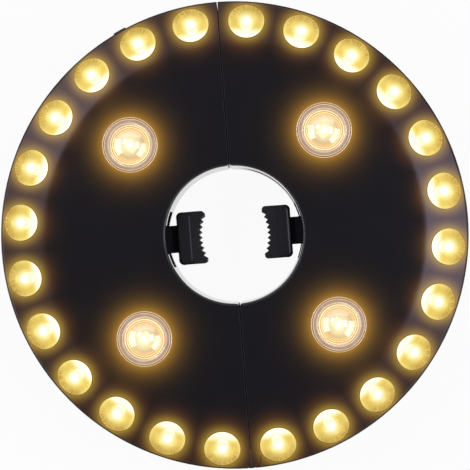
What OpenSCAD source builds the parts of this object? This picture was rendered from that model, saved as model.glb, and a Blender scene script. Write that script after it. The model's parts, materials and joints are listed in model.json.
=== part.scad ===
// Battery patio umbrella light: two hinged half discs that close around the pole,
// gripped by two sprung, toothed jaws. It lies on its back, with the lamps facing +Z.
// The origin is on the pole's axis, at the back face. All sizes are in millimetres.

/* [Body] */
// Outside diameter of the disc
disc_d = 200; // [196:1:220]
// Diameter of the pole opening
hole_d = 58.5; // [58:0.5:62]
// Thickness from the back to the flat front face
disc_h = 34; // [33:0.5:40]
// Width of the sloped lamp band around the flat face
band_w = 19; // [18:0.5:20]
// Slope of the lamp band
band_slope = 15; // [12:0.5:17]
// Thickness of the rim, hole and seam walls
wall_t = 2; // [1.6:0.1:2.4]
// Thickness of the front face
face_t = 2.2; // [1.8:0.1:2.6]
// Thickness of the back cover plates
back_t = 2.6; // [2.5:0.1:3]
// Gap between the two halves along the seam
seam_gap = 0.4; // [0.3:0.1:0.6]
// Rounding of the rim's front edge
rim_edge_r = 1.5; // [1:0.1:2]
// Rounding of the pole opening's front edge
hole_edge_r = 1.2; // [0.8:0.1:1.5]
// Rounding of the rim's back edge
foot_edge_r = 0.8; // [0.5:0.1:1.2]

/* [Ring lamps] */
// Number of lamps on the band, over both halves
ring_count = 24; // [20:2:24]
// Distance of the lamp centres from the rim
ring_inset = 8.8; // [8.6:0.1:9.4]
// Inside diameter of a reflector cup's mouth
cup_mouth_d = 15; // [14:0.1:15.2]
// Depth of a reflector cup's bowl
cup_depth = 5; // [4:0.1:5.5]
// Thickness of a cup's lip
cup_lip = 0.4; // [0.3:0.05:0.6]
// Diameter of a lamp's clear body
led_d = 5; // [4:0.1:5.4]
// Height of a lamp's body and flange
led_h = 8.7; // [8:0.1:9]

/* [Spot lamps] */
// Distance of the spot lamps from the pole's axis
spot_r = 58.4; // [56:0.2:60]
// Diameter of a spot lens's flange
spot_flange_d = 23.5; // [22:0.1:25]
// Diameter of a spot lens's dome
spot_dome_d = 15; // [14:0.1:15.6]
// Height of the dome over its flange
spot_dome_h = 3.6; // [3:0.1:4.5]
// Diameter of a spot reflector's round bowl
spot_bowl_d = 15.6; // [15:0.1:16]

/* [Jaws] */
// Gap between the middles of the two grip pads at rest
jaw_gap = 28.4; // [24:0.2:30]
// Travel of each jaw away from the pole
jaw_travel = 9.6; // [8:0.1:10.5]
// Width of a jaw
jaw_w = 22.6; // [20:0.2:23.6]
// Height of a jaw along the pole
jaw_h = 18; // [15:0.5:19]
// Depth of the grip pad, from its middle tooth's tip to its back
pad_t = 4.3; // [3.8:0.1:4.8]
// Radius of the hollow that the tooth tips lie on
pad_arc_r = 24; // [22:0.5:32]
// Depth of the notches between teeth
tooth_depth = 1.35; // [1:0.05:1.5]
// Number of teeth
tooth_count = 9; // [7:2:9]
// Thickness of the jaw's head behind the pad
head_t = 6; // [5:0.1:6.6]
// Width of the jaw's stem
stem_w = 11.8; // [10:0.1:12]
// Height of the jaw's stem
stem_h = 10; // [9:0.1:11]

/* [Batteries] */
// Diameter of one cell
cell_d = 14.2; // [13.5:0.1:14.5]
// Length of one cell without its nub
cell_l = 49.5; // [48:0.1:50]
// Length kept for a contact spring
contact_len = 6.7; // [6:0.1:8]
// Thickness of the battery box's walls
box_t = 1.2; // [1:0.1:1.4]
// Thickness of a battery door
door_t = 2.4; // [2.2:0.1:2.5]

/* [Hinge] */
// Radius of the hinge knuckles
hinge_r = 4; // [3.6:0.1:4.2]
// Diameter of the hinge pin
pin_d = 3; // [2.5:0.1:3.2]
// Angle that the halves open by
open_angle = 45; // [30:1:50]
// Diameter of the closing magnets
magnet_d = 8; // [6:0.5:9]
// Thickness of the closing magnets
magnet_t = 2; // [1.5:0.1:2.5]

/* [Hanging hooks] */
// Outside radius of a hook's curl
hook_r = 5.6; // [5:0.1:5.8]
// Thickness of a hook
hook_t = 3; // [2.6:0.1:3.2]
// Distance from a hook's pivot to the middle of its curl
hook_l = 22.5; // [20:0.5:23]

/* [Button] */
// Width of the power button
button_w = 6.8; // [6:0.1:8]
// Height of the power button
button_h = 5; // [4:0.1:5.6]
// How far the power button stands out of the rim
button_out = 2; // [1.5:0.1:2.4]
// How far the power button presses in
button_travel = 0.8; // [0.5:0.1:1]

/* [Hidden] */
LEFT = -1;
RIGHT = 1;
$fn = 64;

// Clearances
fit = 0.1;        // a located piece in its seat
slip = 0.3;       // a moving edge beside a fixed one
pin_fit = 0.05;   // a shaft in its bore, on the radius
seat_gap = 0.15;  // between stacked pieces that another piece clamps
over = 1;         // how far a cutting shape runs past what it cuts

// Body
disc_r = disc_d / 2;
hole_r = hole_d / 2;
flat_r = disc_r - band_w;
face_in = disc_h - face_t;            // height of the front face's inner side
cavity_r = disc_r - wall_t;
seam_x = seam_gap / 2;
cover_x = seam_x + wall_t + fit;      // where a back cover starts beside its seam wall
function band_z(r) = disc_h - (r - flat_r) * tan(band_slope);
rim_edge_z = band_z(disc_r - rim_edge_r) - rim_edge_r / cos(band_slope);
seam_corner_r = 1.3;                  // rounding where the seam meets the pole opening

// Heights from the back, up to the lamp board
cell_low = 0.5;                       // under the cells
cell_high = 0.9;                      // over the cells
bay_h = cell_low + cell_d + cell_high;
board_gap = 0.2;                      // between the battery box and the lamp board
board_z = back_t + bay_h + box_t + board_gap;

// Lamp board
board_t = 1.6;
board_top = board_z + board_t;
board_hole_gap = 2.6;                 // from the pole opening's wall to the board
board_in = hole_r + wall_t + board_hole_gap;
board_rim_gap = 4;                    // from the rim's wall to the board
board_out = cavity_r - board_rim_gap;
board_slack = 0.6;                    // around the jaw guide

// Ring lamps
ring_r = disc_r - ring_inset;
lamp_step = 360 / ring_count;
cup_r = cup_mouth_d / 2 + cup_lip;
cup_floor = 0.8;                      // cup material under the bowl
cup_straight = 2.5;                   // height of the cup's straight outer wall
cup_foot_r = 3.8;
bowl_r = (pow(cup_mouth_d / 2, 2) + pow(cup_depth, 2)) / (2 * cup_depth);
led_sink = 0.8;                       // how far a lamp's tip lies below the cup's mouth
led_flange_r = led_d / 2 + 0.4;
led_flange_t = 1;
lead_r = 0.25;
lead_l = face_in - board_top;         // more than reaches the board, where it is cut off
lead_pitch = 2.54;

// Spot lamps
spot_seat = 0.8;                      // depth of the flange's seat in the front face
spot_flange_r = spot_flange_d / 2;
spot_flange_z = disc_h + 0.7;         // top of the flange
spot_skirt_r = 9;
spot_skirt_t = 0.7;
spot_skirt_h = 3.4;
spot_hole_r = spot_skirt_r + fit;
dome_r = (pow(spot_dome_d / 2, 2) + pow(spot_dome_h, 2)) / (2 * spot_dome_h);
dome_z = spot_flange_z + spot_dome_h - dome_r;
lens_t = 1.6;
spot_bowl_r = spot_bowl_d / 2;
spot_cup_top = disc_h - spot_seat - 2 * fit;
spot_floor = 2;                       // from the board to the round bowl
spot_bowl_z = board_top + spot_floor + spot_bowl_r;   // middle of the round bowl
spot_cup_t = 0.3;
spot_cup_foot_r = 4.5;
spot_cup_foot_h = 2.2;
spot_chip_w = 4.6;
spot_chip_t = 1.6;

// Jaws, measured along X from the pole's axis
jaw_z = disc_h / 2;
pad_x = jaw_gap / 2;
pad_back_x = pad_x + pad_t;
head_back_x = pad_back_x + head_t;
end_gap = 0.5;                               // left past the end of the jaw's travel
pocket_x = head_back_x + jaw_travel + end_gap;   // end of the pocket that the head backs into
lip_t = 3.4;                                 // lip that holds the stem's stops
stop_t = 2.4;
stop_out = 1;                                // how far a stop stands out of the stem
stop_gap = 0.1;                              // between a stop and its lip at rest
stop_x = pocket_x + lip_t;                   // stops rest here
stem_tail = 4;                               // stem past the stops
stem_end_x = stop_x + stop_t + stem_tail;
channel_x = stem_end_x + jaw_travel + end_gap;
guide_t = 1.4;
guide_end_x = channel_x + guide_t;
channel_gap = 0.25;                          // around the jaw's stem
pocket_gap = 0.7;                            // beside the jaw's head
window_w = jaw_w + 2 * pocket_gap;
window_h = jaw_h + 2;
guide_side_t = 2;                            // walls of the pocket
guide_w = window_w + 2 * guide_side_t;
guide_z1 = face_in - seat_gap;               // top of the guide, under the front face
head_corner_r = 2.2;
pad_corner_r = 1.4;
pad_land = 0.86;                             // flat between a pad's corner and its first tooth
tooth_pitch = (jaw_w - 2 * (pad_corner_r + pad_land)) / (tooth_count - 1);
spring_bore_r = 3.3;
spring_wire_r = 0.35;
spring_r = 2.6;
spring_turns = 9;
spring_floor_t = 2.5;                        // stem left in front of the spring's hole
spring_floor_x = head_back_x + spring_floor_t;

// Battery box, measured along X from the pole's axis
box_x = guide_end_x + 2 * fit;
bay_x = box_x + box_t;
cell_gap = 1;
bay_w = 2 * cell_d + 3 * cell_gap;
nub_l = 1;
nub_r = 2.75;
plate_t = 0.4;
bay_l = cell_l + nub_l + contact_len + 2 * plate_t;
cell_z = back_t + cell_low + cell_d / 2;
plate_h = 11;
plate_w = 11;
tail_w = 1;
tail_up = 3;                                 // height of the tails over the cells' middle
wire_r = 0.7;
door_edge_r = door_t / 2;
door_sink = 0.1;                             // from the back face into the door
door_z = door_sink + door_edge_r;            // height of the door's pivot
door_x = bay_x + slip + door_edge_r;         // place of the door's pivot
door_pin_r = 0.8;
door_pin_l = 1.6;
latch_t = 1;
latch_w = 8;
latch_rise = 3.2;                            // over the door
latch_in = 0.7;                              // from the door's free edge
latch_catch = 0.4;
grip_r = 0.8;                                // thumb grooves
grip_w = 14;
grip_pitch = 2.4;
spring_end_r = [4.6, 2.4];                   // a contact spring's wide and narrow ends
contact_turns = 3.5;
contact_wire_r = 0.4;
notch_r = 8;                                 // round hollow for a fingertip
notch_deep = 1.5;

// Fasteners
seam_post_in = 24;                           // from the rim to the posts beside the seam
outer_post_in = 20.1;                        // from the rim to the outer cover posts
outer_post_angle = 45.5;
cover_posts = [
  [9, 38],
  [8, disc_r - seam_post_in],
  (disc_r - outer_post_in) * [cos(outer_post_angle), sin(outer_post_angle)]
];
post_r = 3;
cover_screw_r = 1.2;
cover_screw_l = 12;
cover_head_r = 2.75;
cover_head_t = 1.5;
head_sink = 0.1;                             // from the back face into a screw's head
head_gap = 0.25;                             // around a screw's head
shank_gap = 0.4;                             // around a screw's shank in the cover
board_post_in = [38, 33];                    // from the rim's ends on Y and on X to the board's posts
board_post_side = [20, 36];                  // from the other axis to the same posts
board_posts = [
  [board_post_side[0], disc_r - board_post_in[0]],
  [disc_r - board_post_in[1], board_post_side[1]]
];
board_post_r = 2.6;
board_screw_r = 1.1;
board_screw_l = 6;
board_head_r = 2.3;
board_head_t = 1.5;
cross_w = 0.7;                               // width of a screw's cross slot
cross_t = 0.9;                               // depth of a screw's cross slot

// Hinge
pin_r = pin_d / 2;
pin_y = -(disc_r - hinge_r);
knuckle_z = [1, 8.6, 17.2, 25];              // lower ends of the three knuckles, and the bore's end
knuckle_gap = 0.2;
hinge_clear_r = hinge_r + slip;
hinge_wall_r = hinge_clear_r + 1.5;
notch_angle = open_angle / 2 + 1.5;
pin_head_r = pin_r + 0.9;
pin_z = 0.2;                                 // lower end of the pin's head

// Closing magnets and the peg that lines the halves up
magnet_in = [48, 16];                        // from the rim to the magnets
magnet_y = [disc_r - magnet_in[0], disc_r - magnet_in[1]];
magnet_z = 13;
magnet_sink = 0.3;
boss_t = 1.5;                                // wall around a magnet
peg_in = 32;                                 // from the rim to the peg
peg_y = disc_r - peg_in;
peg_z = 13;
peg_r = 1.4;
peg_tip_r = 1;
peg_l = 3;

// Hanging hooks
hook_in = 38;                                // from the rim to the hooks
hook_y = disc_r - hook_in;
hook_x = 15.5;
hook_z = 2.4;
hook_barrel_r = 2;
hook_bar_w = 3;
hook_curl_w = 2.2;
hook_gap = 4;                                // mouth of the curl
hook_pin_r = 1.1;
hook_pin_gap = 0.2;                          // at each end of the pin
hook_slack = 0.9;                            // around the hook in its pocket
hook_pocket_x = 12;
hook_pocket_l = hook_x - hook_pocket_x + hook_l + hook_r + hook_slack + 0.5;
hook_pocket_w = 2 * hook_r + 2 * hook_slack;
hook_pocket_h = 5.2;
hook_pocket_t = 1.4;

// Power button and its switch
button_angle = 115.2;
button_drop = 3.2;                           // from the board to the button's middle
button_z = board_z - button_drop;
button_gap = 0.2;
button_cap_t = 0.6;                          // stepped edge of the cap
button_flange = 1;
button_flange_t = 1.2;
button_root_r = cavity_r - slip;             // outer side of the button's flange
button_stem_r = 1.4;
button_tail = 4.2;                           // of the button, inside the rim's wall
button_back_r = cavity_r - button_tail;      // inner end of the button's stem
switch_gap = button_travel + fit;
switch_w = 6;
switch_t = 3.5;
plunger_r = 1.75;
plunger_l = 1.2;
driver_angle = 104;
driver_in = 14;                              // from the board's edge to the control chip
driver_r = board_out - driver_in;
chip_size = [5, 6, 1.6];
resistor_size = [3.2, 1.6, 0.8];
resistor_pitch = 3.4;
resistor_in = 8;                             // from the control chip to the resistors

// Colours
shell_black = [0.05, 0.05, 0.06];
cover_black = [0.07, 0.07, 0.08];
jaw_black = [0.09, 0.09, 0.1];
rubber_black = [0.12, 0.12, 0.12];
cup_gold = [0.95, 0.8, 0.42];
lamp_warm = [1, 0.93, 0.65];
lens_clear = [0.88, 0.86, 0.85, 0.6];
board_white = [0.85, 0.86, 0.83];
steel = [0.7, 0.71, 0.73];
cell_copper = [0.62, 0.36, 0.2];

// ---- Placing ----

// Draws a right half's piece as it is, or mirrored for the left half
module on_side(side) {
  if (side == RIGHT) children();
  else mirror([1, 0, 0]) children();
}

// Draws a piece at (x, y) and at (x, -y)
module both_ends(points) {
  for (p = points, end = [-1, 1])
    translate([p[0], end * p[1], 0])
      children();
}

// The right half's side of the seam
module right_of(x) {
  translate([x, -disc_r - over, -over])
    cube([disc_r + over, 2 * (disc_r + over), 2 * disc_h]);
}

// A ring lamp's frame: its origin is at the cup's mouth, and +Z runs out of the cup
module at_ring_lamps() {
  for (i = [0 : ring_count / 2 - 1])
    rotate([0, 0, -90 + lamp_step * (i + 0.5)])
      translate([ring_r, 0, band_z(ring_r)])
        rotate([0, band_slope, 0])
          children();
}

module at_spots() {
  for (end = [-1, 1])
    rotate([0, 0, end * 45])
      translate([spot_r, 0, 0])
        children();
}

// The button's frame: +X runs out through the rim
module at_button() {
  rotate([0, 0, button_angle])
    children();
}

// ---- Casings ----

// Points on a round edge, from angle a0 to a1
function arc_points(centre, r, a0, a1, steps = 5) =
  [for (i = [0 : steps]) centre + r * [cos(a0 + (a1 - a0) * i / steps), sin(a0 + (a1 - a0) * i / steps)]];

module body_outline() {
  polygon(concat(
    [[hole_r, 0]],
    arc_points([hole_r + hole_edge_r, disc_h - hole_edge_r], hole_edge_r, 180, 90),
    [[flat_r, disc_h]],
    arc_points([disc_r - rim_edge_r, rim_edge_z], rim_edge_r, 90 - band_slope, 0),
    arc_points([disc_r - foot_edge_r, foot_edge_r], foot_edge_r, 0, -90, 3)
  ));
}

module cavity_outline() {
  polygon([
    [hole_r + wall_t, -over],
    [hole_r + wall_t, face_in],
    [flat_r, face_in],
    [cavity_r, band_z(cavity_r) - face_t],
    [cavity_r, -over]
  ]);
}

module body_solid() {
  intersection() {
    rotate_extrude()
      body_outline();
    right_of(seam_x);
  }
}

module casing_skin() {
  intersection() {
    rotate_extrude()
      difference() {
        body_outline();
        cavity_outline();
      }
    right_of(seam_x);
  }
}

module seam_walls() {
  intersection() {
    body_solid();
    translate([seam_x, -disc_r, 0])
      cube([wall_t, disc_d, disc_h]);
  }
}

// Posts for the cover's screws and the board's screws, down from the front face
module screw_posts() {
  both_ends(cover_posts)
    translate([0, 0, back_t])
      cylinder(r = post_r, h = face_in - back_t + over);
  both_ends(board_posts)
    translate([0, 0, board_top])
      cylinder(r = board_post_r, h = face_in - board_top + over);
}

module screw_pilots() {
  both_ends(cover_posts)
    translate([0, 0, back_t - over])
      cylinder(r = cover_screw_r + pin_fit, h = cover_screw_l + over);
  both_ends(board_posts)
    translate([0, 0, board_top - over])
      cylinder(r = board_screw_r + pin_fit, h = board_screw_l + over);
}

module at_magnets() {
  for (y = magnet_y)
    translate([seam_x, y, magnet_z])
      rotate([0, 90, 0])
        children();
}

module magnet_bosses() {
  at_magnets()
    cylinder(r = magnet_d / 2 + boss_t, h = magnet_sink + magnet_t + boss_t);
}

module magnet_pockets() {
  at_magnets()
    translate([0, 0, -over])
      cylinder(r = magnet_d / 2 + pin_fit, h = over + magnet_sink + magnet_t + pin_fit);
}

// Room for a reflector cup, cut through the band and the walls behind it
module cup_sockets() {
  at_ring_lamps()
    rotate_extrude()
      polygon([
        [0, -cup_depth - cup_floor - fit],
        [cup_foot_r + fit, -cup_depth - cup_floor - fit],
        [cup_r + fit, -cup_straight - fit],
        [cup_r + fit, over],
        [0, over]
      ]);
}

module spot_seats() {
  at_spots() {
    translate([0, 0, disc_h - spot_seat])
      cylinder(r = spot_flange_r + fit, h = spot_seat + over);
    translate([0, 0, face_in - over])
      cylinder(r = spot_hole_r, h = face_t + 2 * over);
  }
}

module jaw_window() {
  translate([0, -window_w / 2, jaw_z - window_h / 2])
    cube([hole_r + wall_t + over, window_w, window_h]);
}

// Rounds the vertical edges where the seam runs into the pole opening
module seam_corners() {
  for (end = [0, 1])
    mirror([0, end, 0])
      translate([seam_x, sqrt(pow(hole_r, 2) - pow(seam_x, 2)), -over])
        difference() {
          translate([-over, -over, 0])
            cube([over + seam_corner_r, over + seam_corner_r, disc_h + 2 * over]);
          translate([seam_corner_r, seam_corner_r, -over])
            cylinder(r = seam_corner_r, h = disc_h + 4 * over);
        }
}

// Solid corner of the casing around the hinge
module hinge_corner() {
  intersection() {
    body_solid();
    translate([0, pin_y, 0])
      cylinder(r = hinge_wall_r, h = disc_h);
  }
}

module knuckle(z0, z1) {
  translate([0, pin_y, z0])
    cylinder(r = hinge_r, h = z1 - z0);
}

// The left half's upper knuckle, which runs up to the sloped band
module top_knuckle() {
  intersection() {
    rotate_extrude()
      body_outline();
    knuckle(knuckle_z[2], disc_h);
  }
}

module hinge_room(z0, z1) {
  translate([0, pin_y, z0])
    cylinder(r = hinge_clear_r, h = z1 - z0);
}

// Sliver outside the knuckles that the other half's corner swings through
module hinge_notch() {
  reach = 3 * hinge_r;
  translate([0, pin_y, -over])
    difference() {
      linear_extrude(disc_h + 2 * over)
        polygon([[0, 0], [reach * tan(notch_angle), -reach], [-over, -reach], [-over, 0]]);
      translate([0, 0, -over])
        cylinder(r = hinge_r, h = disc_h + 4 * over);
    }
}

module pin_bore() {
  translate([0, pin_y, -over])
    cylinder(r = pin_r + pin_fit, h = knuckle_z[3] + over);
}

// One half's casing. The left half holds the outer knuckles, and the right half the middle one.
module front_shell(side) {
  color(shell_black)
    on_side(side)
      difference() {
        union() {
          difference() {
            union() {
              casing_skin();
              seam_walls();
              screw_posts();
              magnet_bosses();
              hinge_corner();
            }
            hinge_room(-over, knuckle_z[0]);
            if (side == LEFT) {
              hinge_room(knuckle_z[1], knuckle_z[2]);
            } else {
              hinge_room(0, knuckle_z[1] + knuckle_gap);
              hinge_room(knuckle_z[2] - knuckle_gap, disc_h + over);
            }
            hinge_notch();
          }
          if (side == LEFT) {
            knuckle(knuckle_z[0], knuckle_z[1]);
            top_knuckle();
          } else {
            knuckle(knuckle_z[1] + knuckle_gap, knuckle_z[2] - knuckle_gap);
            seam_peg();
          }
        }
        pin_bore();
        screw_pilots();
        magnet_pockets();
        cup_sockets();
        spot_seats();
        jaw_window();
        seam_corners();
        if (side == LEFT) {
          peg_hole();
          mirror([1, 0, 0]) button_hole();
        }
      }
}

module seam_peg() {
  translate([seam_x + over, peg_y, peg_z])
    rotate([0, -90, 0])
      cylinder(r1 = peg_r, r2 = peg_tip_r, h = over + peg_l);
}

module peg_hole() {
  translate([seam_x - over, peg_y, peg_z])
    rotate([0, 90, 0])
      cylinder(r = peg_r + slip, h = wall_t + peg_l + 2 * over);
}

module button_hole() {
  at_button()
    button_block(cavity_r - over, disc_r + over, button_w + 2 * button_gap, button_h + 2 * button_gap);
}

// ---- Back covers ----

module cover_plate() {
  intersection() {
    difference() {
      cylinder(r = cavity_r - fit, h = back_t);
      translate([0, 0, -over])
        cylinder(r = hole_r + wall_t + fit, h = back_t + 2 * over);
    }
    right_of(cover_x);
  }
}

module hook_pocket(grow, z0, z1) {
  translate([hook_pocket_x - grow, -hook_pocket_w / 2 - grow, z0])
    cube([hook_pocket_l + 2 * grow, hook_pocket_w + 2 * grow, z1 - z0]);
}

module back_cover(side) {
  color(cover_black)
    on_side(side)
      difference() {
        union() {
          cover_plate();
          translate([0, -side * hook_y, 0])
            hook_pocket(hook_pocket_t, back_t / 2, hook_pocket_h + hook_pocket_t);
        }
        translate([0, -side * hook_y, 0]) {
          hook_pocket(0, -over, hook_pocket_h);
          translate([hook_x, 0, hook_z])
            rotate([90, 0, 0])
              cylinder(r = hook_pin_r + pin_fit, h = hook_pocket_w + 4 * over, center = true);
        }
        translate([bay_x, -bay_l / 2, -over])
          cube([bay_w, bay_l, back_t + 2 * over]);
        translate([door_x, 0, door_z])
          rotate([90, 0, 0])
            cylinder(r = door_pin_r + pin_fit, h = bay_l + 2 * (door_pin_l + fit), center = true);
        finger_notch(bay_x + bay_w, 0);
        finger_notch(hook_pocket_x + hook_pocket_l, -side * hook_y);
        translate([0, pin_y, -over])
          cylinder(r = hinge_wall_r + fit, h = back_t + 2 * over);
        both_ends(cover_posts) {
          translate([0, 0, -over])
            cylinder(r = cover_screw_r + shank_gap, h = back_t + 2 * over);
          translate([0, 0, -over])
            cylinder(r = cover_head_r + head_gap, h = over + cover_head_t + head_sink);
        }
      }
}

// Hollow for a fingertip beside a free edge
module finger_notch(x, y) {
  translate([x, y, notch_deep - notch_r])
    sphere(r = notch_r);
}

module cover_screw() {
  difference() {
    union() {
      translate([0, 0, head_sink])
        cylinder(r = cover_head_r, h = cover_head_t);
      translate([0, 0, head_sink])
        cylinder(r = cover_screw_r, h = cover_screw_l - head_sink);
    }
    screw_cross(cover_head_r);
  }
}

module screw_cross(head_r) {
  for (turn = [0, 90])
    rotate([0, 0, turn])
      translate([-head_r * 0.6, -cross_w / 2, -over])
        cube([head_r * 1.2, cross_w, over + cross_t]);
}

module cover_screws(side) {
  color(steel)
    on_side(side)
      both_ends(cover_posts)
        cover_screw();
}

// ---- Lamp boards ----

module lamp_board(side) {
  color(board_white)
    on_side(side)
      difference() {
        intersection() {
          translate([0, 0, board_z])
            difference() {
              cylinder(r = board_out, h = board_t);
              translate([0, 0, -over])
                cylinder(r = board_in, h = board_t + 2 * over);
            }
          right_of(cover_x);
        }
        translate([0, -guide_w / 2 - board_slack, board_z - over])
          cube([guide_end_x + board_slack, guide_w + 2 * board_slack, board_t + 2 * over]);
        translate([0, pin_y, 0])
          cylinder(r = hinge_wall_r + board_slack, h = disc_h);
        both_ends(cover_posts)
          cylinder(r = post_r + board_slack, h = disc_h);
        both_ends(board_posts)
          cylinder(r = board_screw_r + slip, h = disc_h);
      }
}

module board_screws(side) {
  color(steel)
    on_side(side)
      both_ends(board_posts)
        translate([0, 0, board_z - board_head_t])
          difference() {
            union() {
              cylinder(r = board_head_r, h = board_head_t);
              cylinder(r = board_screw_r, h = board_head_t + board_t + board_screw_l - end_gap);
            }
            screw_cross(board_head_r);
          }
}

// ---- Ring lamps ----

module ring_cup() {
  rotate_extrude()
    difference() {
      polygon([
        [led_d / 2 + fit, -cup_depth - cup_floor],
        [cup_foot_r, -cup_depth - cup_floor],
        [cup_r, -cup_straight],
        [cup_r, 0],
        [led_d / 2 + fit, 0]
      ]);
      translate([0, bowl_r - cup_depth])
        circle(r = bowl_r, $fn = 128);
    }
}

module ring_cups(side) {
  color(cup_gold)
    on_side(side)
      at_ring_lamps()
        ring_cup();
}

module ring_lamp() {
  base_z = -led_sink - led_h;
  translate([0, 0, -led_sink - led_d / 2])
    sphere(d = led_d);
  translate([0, 0, base_z])
    cylinder(d = led_d, h = led_h - led_d / 2);
  translate([0, 0, base_z])
    cylinder(r = led_flange_r, h = led_flange_t);
  for (end = [-1, 1])
    translate([0, end * lead_pitch / 2, base_z - lead_l])
      cylinder(r = lead_r, h = lead_l + led_flange_t);
}

module ring_lamps(side) {
  color(lamp_warm)
    on_side(side)
      difference() {
        at_ring_lamps()
          ring_lamp();
        translate([0, 0, board_top - disc_h])
          cylinder(r = disc_d, h = disc_h);
      }
}

// ---- Spot lamps ----

module spot_cup() {
  hole = spot_chip_w / sqrt(2) + fit;
  rotate_extrude()
    difference() {
      translate([hole, board_top])
        square([spot_bowl_r + spot_cup_t - hole, spot_cup_top - board_top]);
      translate([0, spot_bowl_z])
        circle(r = spot_bowl_r, $fn = 128);
      translate([0, spot_bowl_z])
        square([spot_bowl_r, spot_cup_top]);
      translate([spot_cup_foot_r, board_top - over])
        square([spot_bowl_r, over + spot_cup_foot_h]);
    }
}

module spot_cups(side) {
  color(cup_gold)
    on_side(side)
      at_spots()
        spot_cup();
}

module spot_lamps(side) {
  color(lamp_warm)
    on_side(side)
      at_spots()
        translate([0, 0, board_top]) {
          translate([-spot_chip_w / 2, -spot_chip_w / 2, 0])
            cube([spot_chip_w, spot_chip_w, spot_chip_t]);
          intersection() {
            translate([0, 0, spot_chip_t])
              sphere(d = spot_chip_w);
            cylinder(d = spot_chip_w, h = spot_chip_w);
          }
        }
}

// Clear lens: a stepped flange, a locating skirt and a hollow dome
module spot_lens() {
  seat_z = disc_h - spot_seat;
  bevel = 0.5;
  groove_r = spot_skirt_r - spot_skirt_t / 2;
  rotate_extrude()
    difference() {
      union() {
        polygon([
          [0, seat_z],
          [spot_flange_r, seat_z],
          [spot_flange_r, spot_flange_z - bevel],
          [spot_flange_r - bevel, spot_flange_z],
          [groove_r + 2 * bevel, spot_flange_z],
          [groove_r + bevel, spot_flange_z - bevel],
          [groove_r, spot_flange_z - bevel],
          [groove_r - bevel, spot_flange_z],
          [0, spot_flange_z]
        ]);
        translate([spot_skirt_r - spot_skirt_t, seat_z - spot_skirt_h])
          square([spot_skirt_t, spot_skirt_h + over / 2]);
        intersection() {
          translate([0, dome_z])
            circle(r = dome_r, $fn = 128);
          translate([0, spot_flange_z - over / 2])
            square([spot_dome_d / 2 + over, dome_r]);
        }
      }
      intersection() {
        translate([0, dome_z])
          circle(r = dome_r - lens_t, $fn = 128);
        translate([0, seat_z - over])
          square([spot_skirt_r - spot_skirt_t, dome_r]);
      }
    }
}

module spot_lenses(side) {
  color(lens_clear)
    on_side(side)
      at_spots()
        spot_lens();
}

// ---- Jaws ----

function tip_x(y) = pad_x - pad_arc_r + sqrt(pow(pad_arc_r, 2) - pow(y, 2));
tip_y = [for (i = [0 : tooth_count - 1]) (i - (tooth_count - 1) / 2) * tooth_pitch];
notch_y = [for (i = [0 : tooth_count - 2]) (tip_y[i] + tip_y[i + 1]) / 2];
teeth = [
  for (i = [0 : 2 * tooth_count - 2])
    let (y = i % 2 == 0 ? tip_y[i / 2] : notch_y[(i - 1) / 2])
      [tip_x(y) + (i % 2 == 0 ? 0 : tooth_depth), y]
];
pad_end_x = tip_x(tip_y[0]);

module grip_pad(side) {
  color(rubber_black)
    on_side(side)
      translate([0, 0, jaw_z - jaw_h / 2])
        linear_extrude(jaw_h)
          polygon(concat(
            [[pad_back_x, jaw_w / 2], [pad_back_x, -jaw_w / 2]],
            arc_points([pad_end_x + pad_corner_r, pad_corner_r - jaw_w / 2], pad_corner_r, -90, -180),
            teeth,
            arc_points([pad_end_x + pad_corner_r, jaw_w / 2 - pad_corner_r], pad_corner_r, 180, 90)
          ));
}

// Head, stem and stops in one moulding, with a hole for the spring
module jaw(side) {
  color(jaw_black)
    on_side(side)
      difference() {
        union() {
          translate([0, 0, jaw_z - jaw_h / 2])
            linear_extrude(jaw_h)
              polygon(concat(
                [[pad_back_x, jaw_w / 2], [pad_back_x, -jaw_w / 2]],
                arc_points([head_back_x - head_corner_r, head_corner_r - jaw_w / 2], head_corner_r, -90, 0),
                arc_points([head_back_x - head_corner_r, jaw_w / 2 - head_corner_r], head_corner_r, 0, 90)
              ));
          translate([head_back_x - over, -stem_w / 2, jaw_z - stem_h / 2])
            cube([stem_end_x - head_back_x + over, stem_w, stem_h]);
          translate([stop_x + stop_gap, -stem_w / 2 - stop_out, jaw_z - stem_h / 2])
            cube([stop_t, stem_w + 2 * stop_out, stem_h]);
        }
        translate([spring_floor_x, 0, jaw_z])
          rotate([0, 90, 0])
            cylinder(r = spring_bore_r, h = stem_end_x);
      }
}

// Fixed guide behind the window: a pocket for the head, a lip, and a channel for the stem
module jaw_guide(side) {
  channel_w = stem_w + 2 * channel_gap;
  channel_h = stem_h + 2 * channel_gap;
  stop_w = channel_w + 2 * stop_out;
  duct_w = stop_w + 2 * guide_t;
  duct_h = channel_h + 2 * guide_t;
  color(jaw_black)
    on_side(side)
      difference() {
        union() {
          translate([0, -guide_w / 2, back_t])
            cube([pocket_x + lip_t, guide_w, guide_z1 - back_t]);
          translate([pocket_x, -duct_w / 2, jaw_z - duct_h / 2])
            cube([guide_end_x - pocket_x, duct_w, duct_h]);
          translate([pocket_x, -guide_t / 2, back_t])
            cube([channel_x - pocket_x, guide_t, guide_z1 - back_t]);
        }
        translate([0, 0, -over])
          cylinder(r = hole_r + wall_t + fit, h = disc_h);
        translate([0, -window_w / 2, jaw_z - window_h / 2])
          cube([pocket_x, window_w, window_h]);
        translate([0, -channel_w / 2, jaw_z - channel_h / 2])
          cube([channel_x, channel_w, channel_h]);
        translate([stop_x, -stop_w / 2, jaw_z - channel_h / 2])
          cube([channel_x - stop_x, stop_w, channel_h]);
      }
}

// ---- Springs ----

coil_rings = 8;   // rings along one turn
coil_sides = 6;   // sides of the wire

// Centre of the wire at turn t of a coil along +Z, from radius r0 to r1
function coil_point(t, turns, r0, r1, height) =
  let (r = r0 + (r1 - r0) * t / turns)
    [r * cos(360 * t), r * sin(360 * t), height * t / turns];

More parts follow.
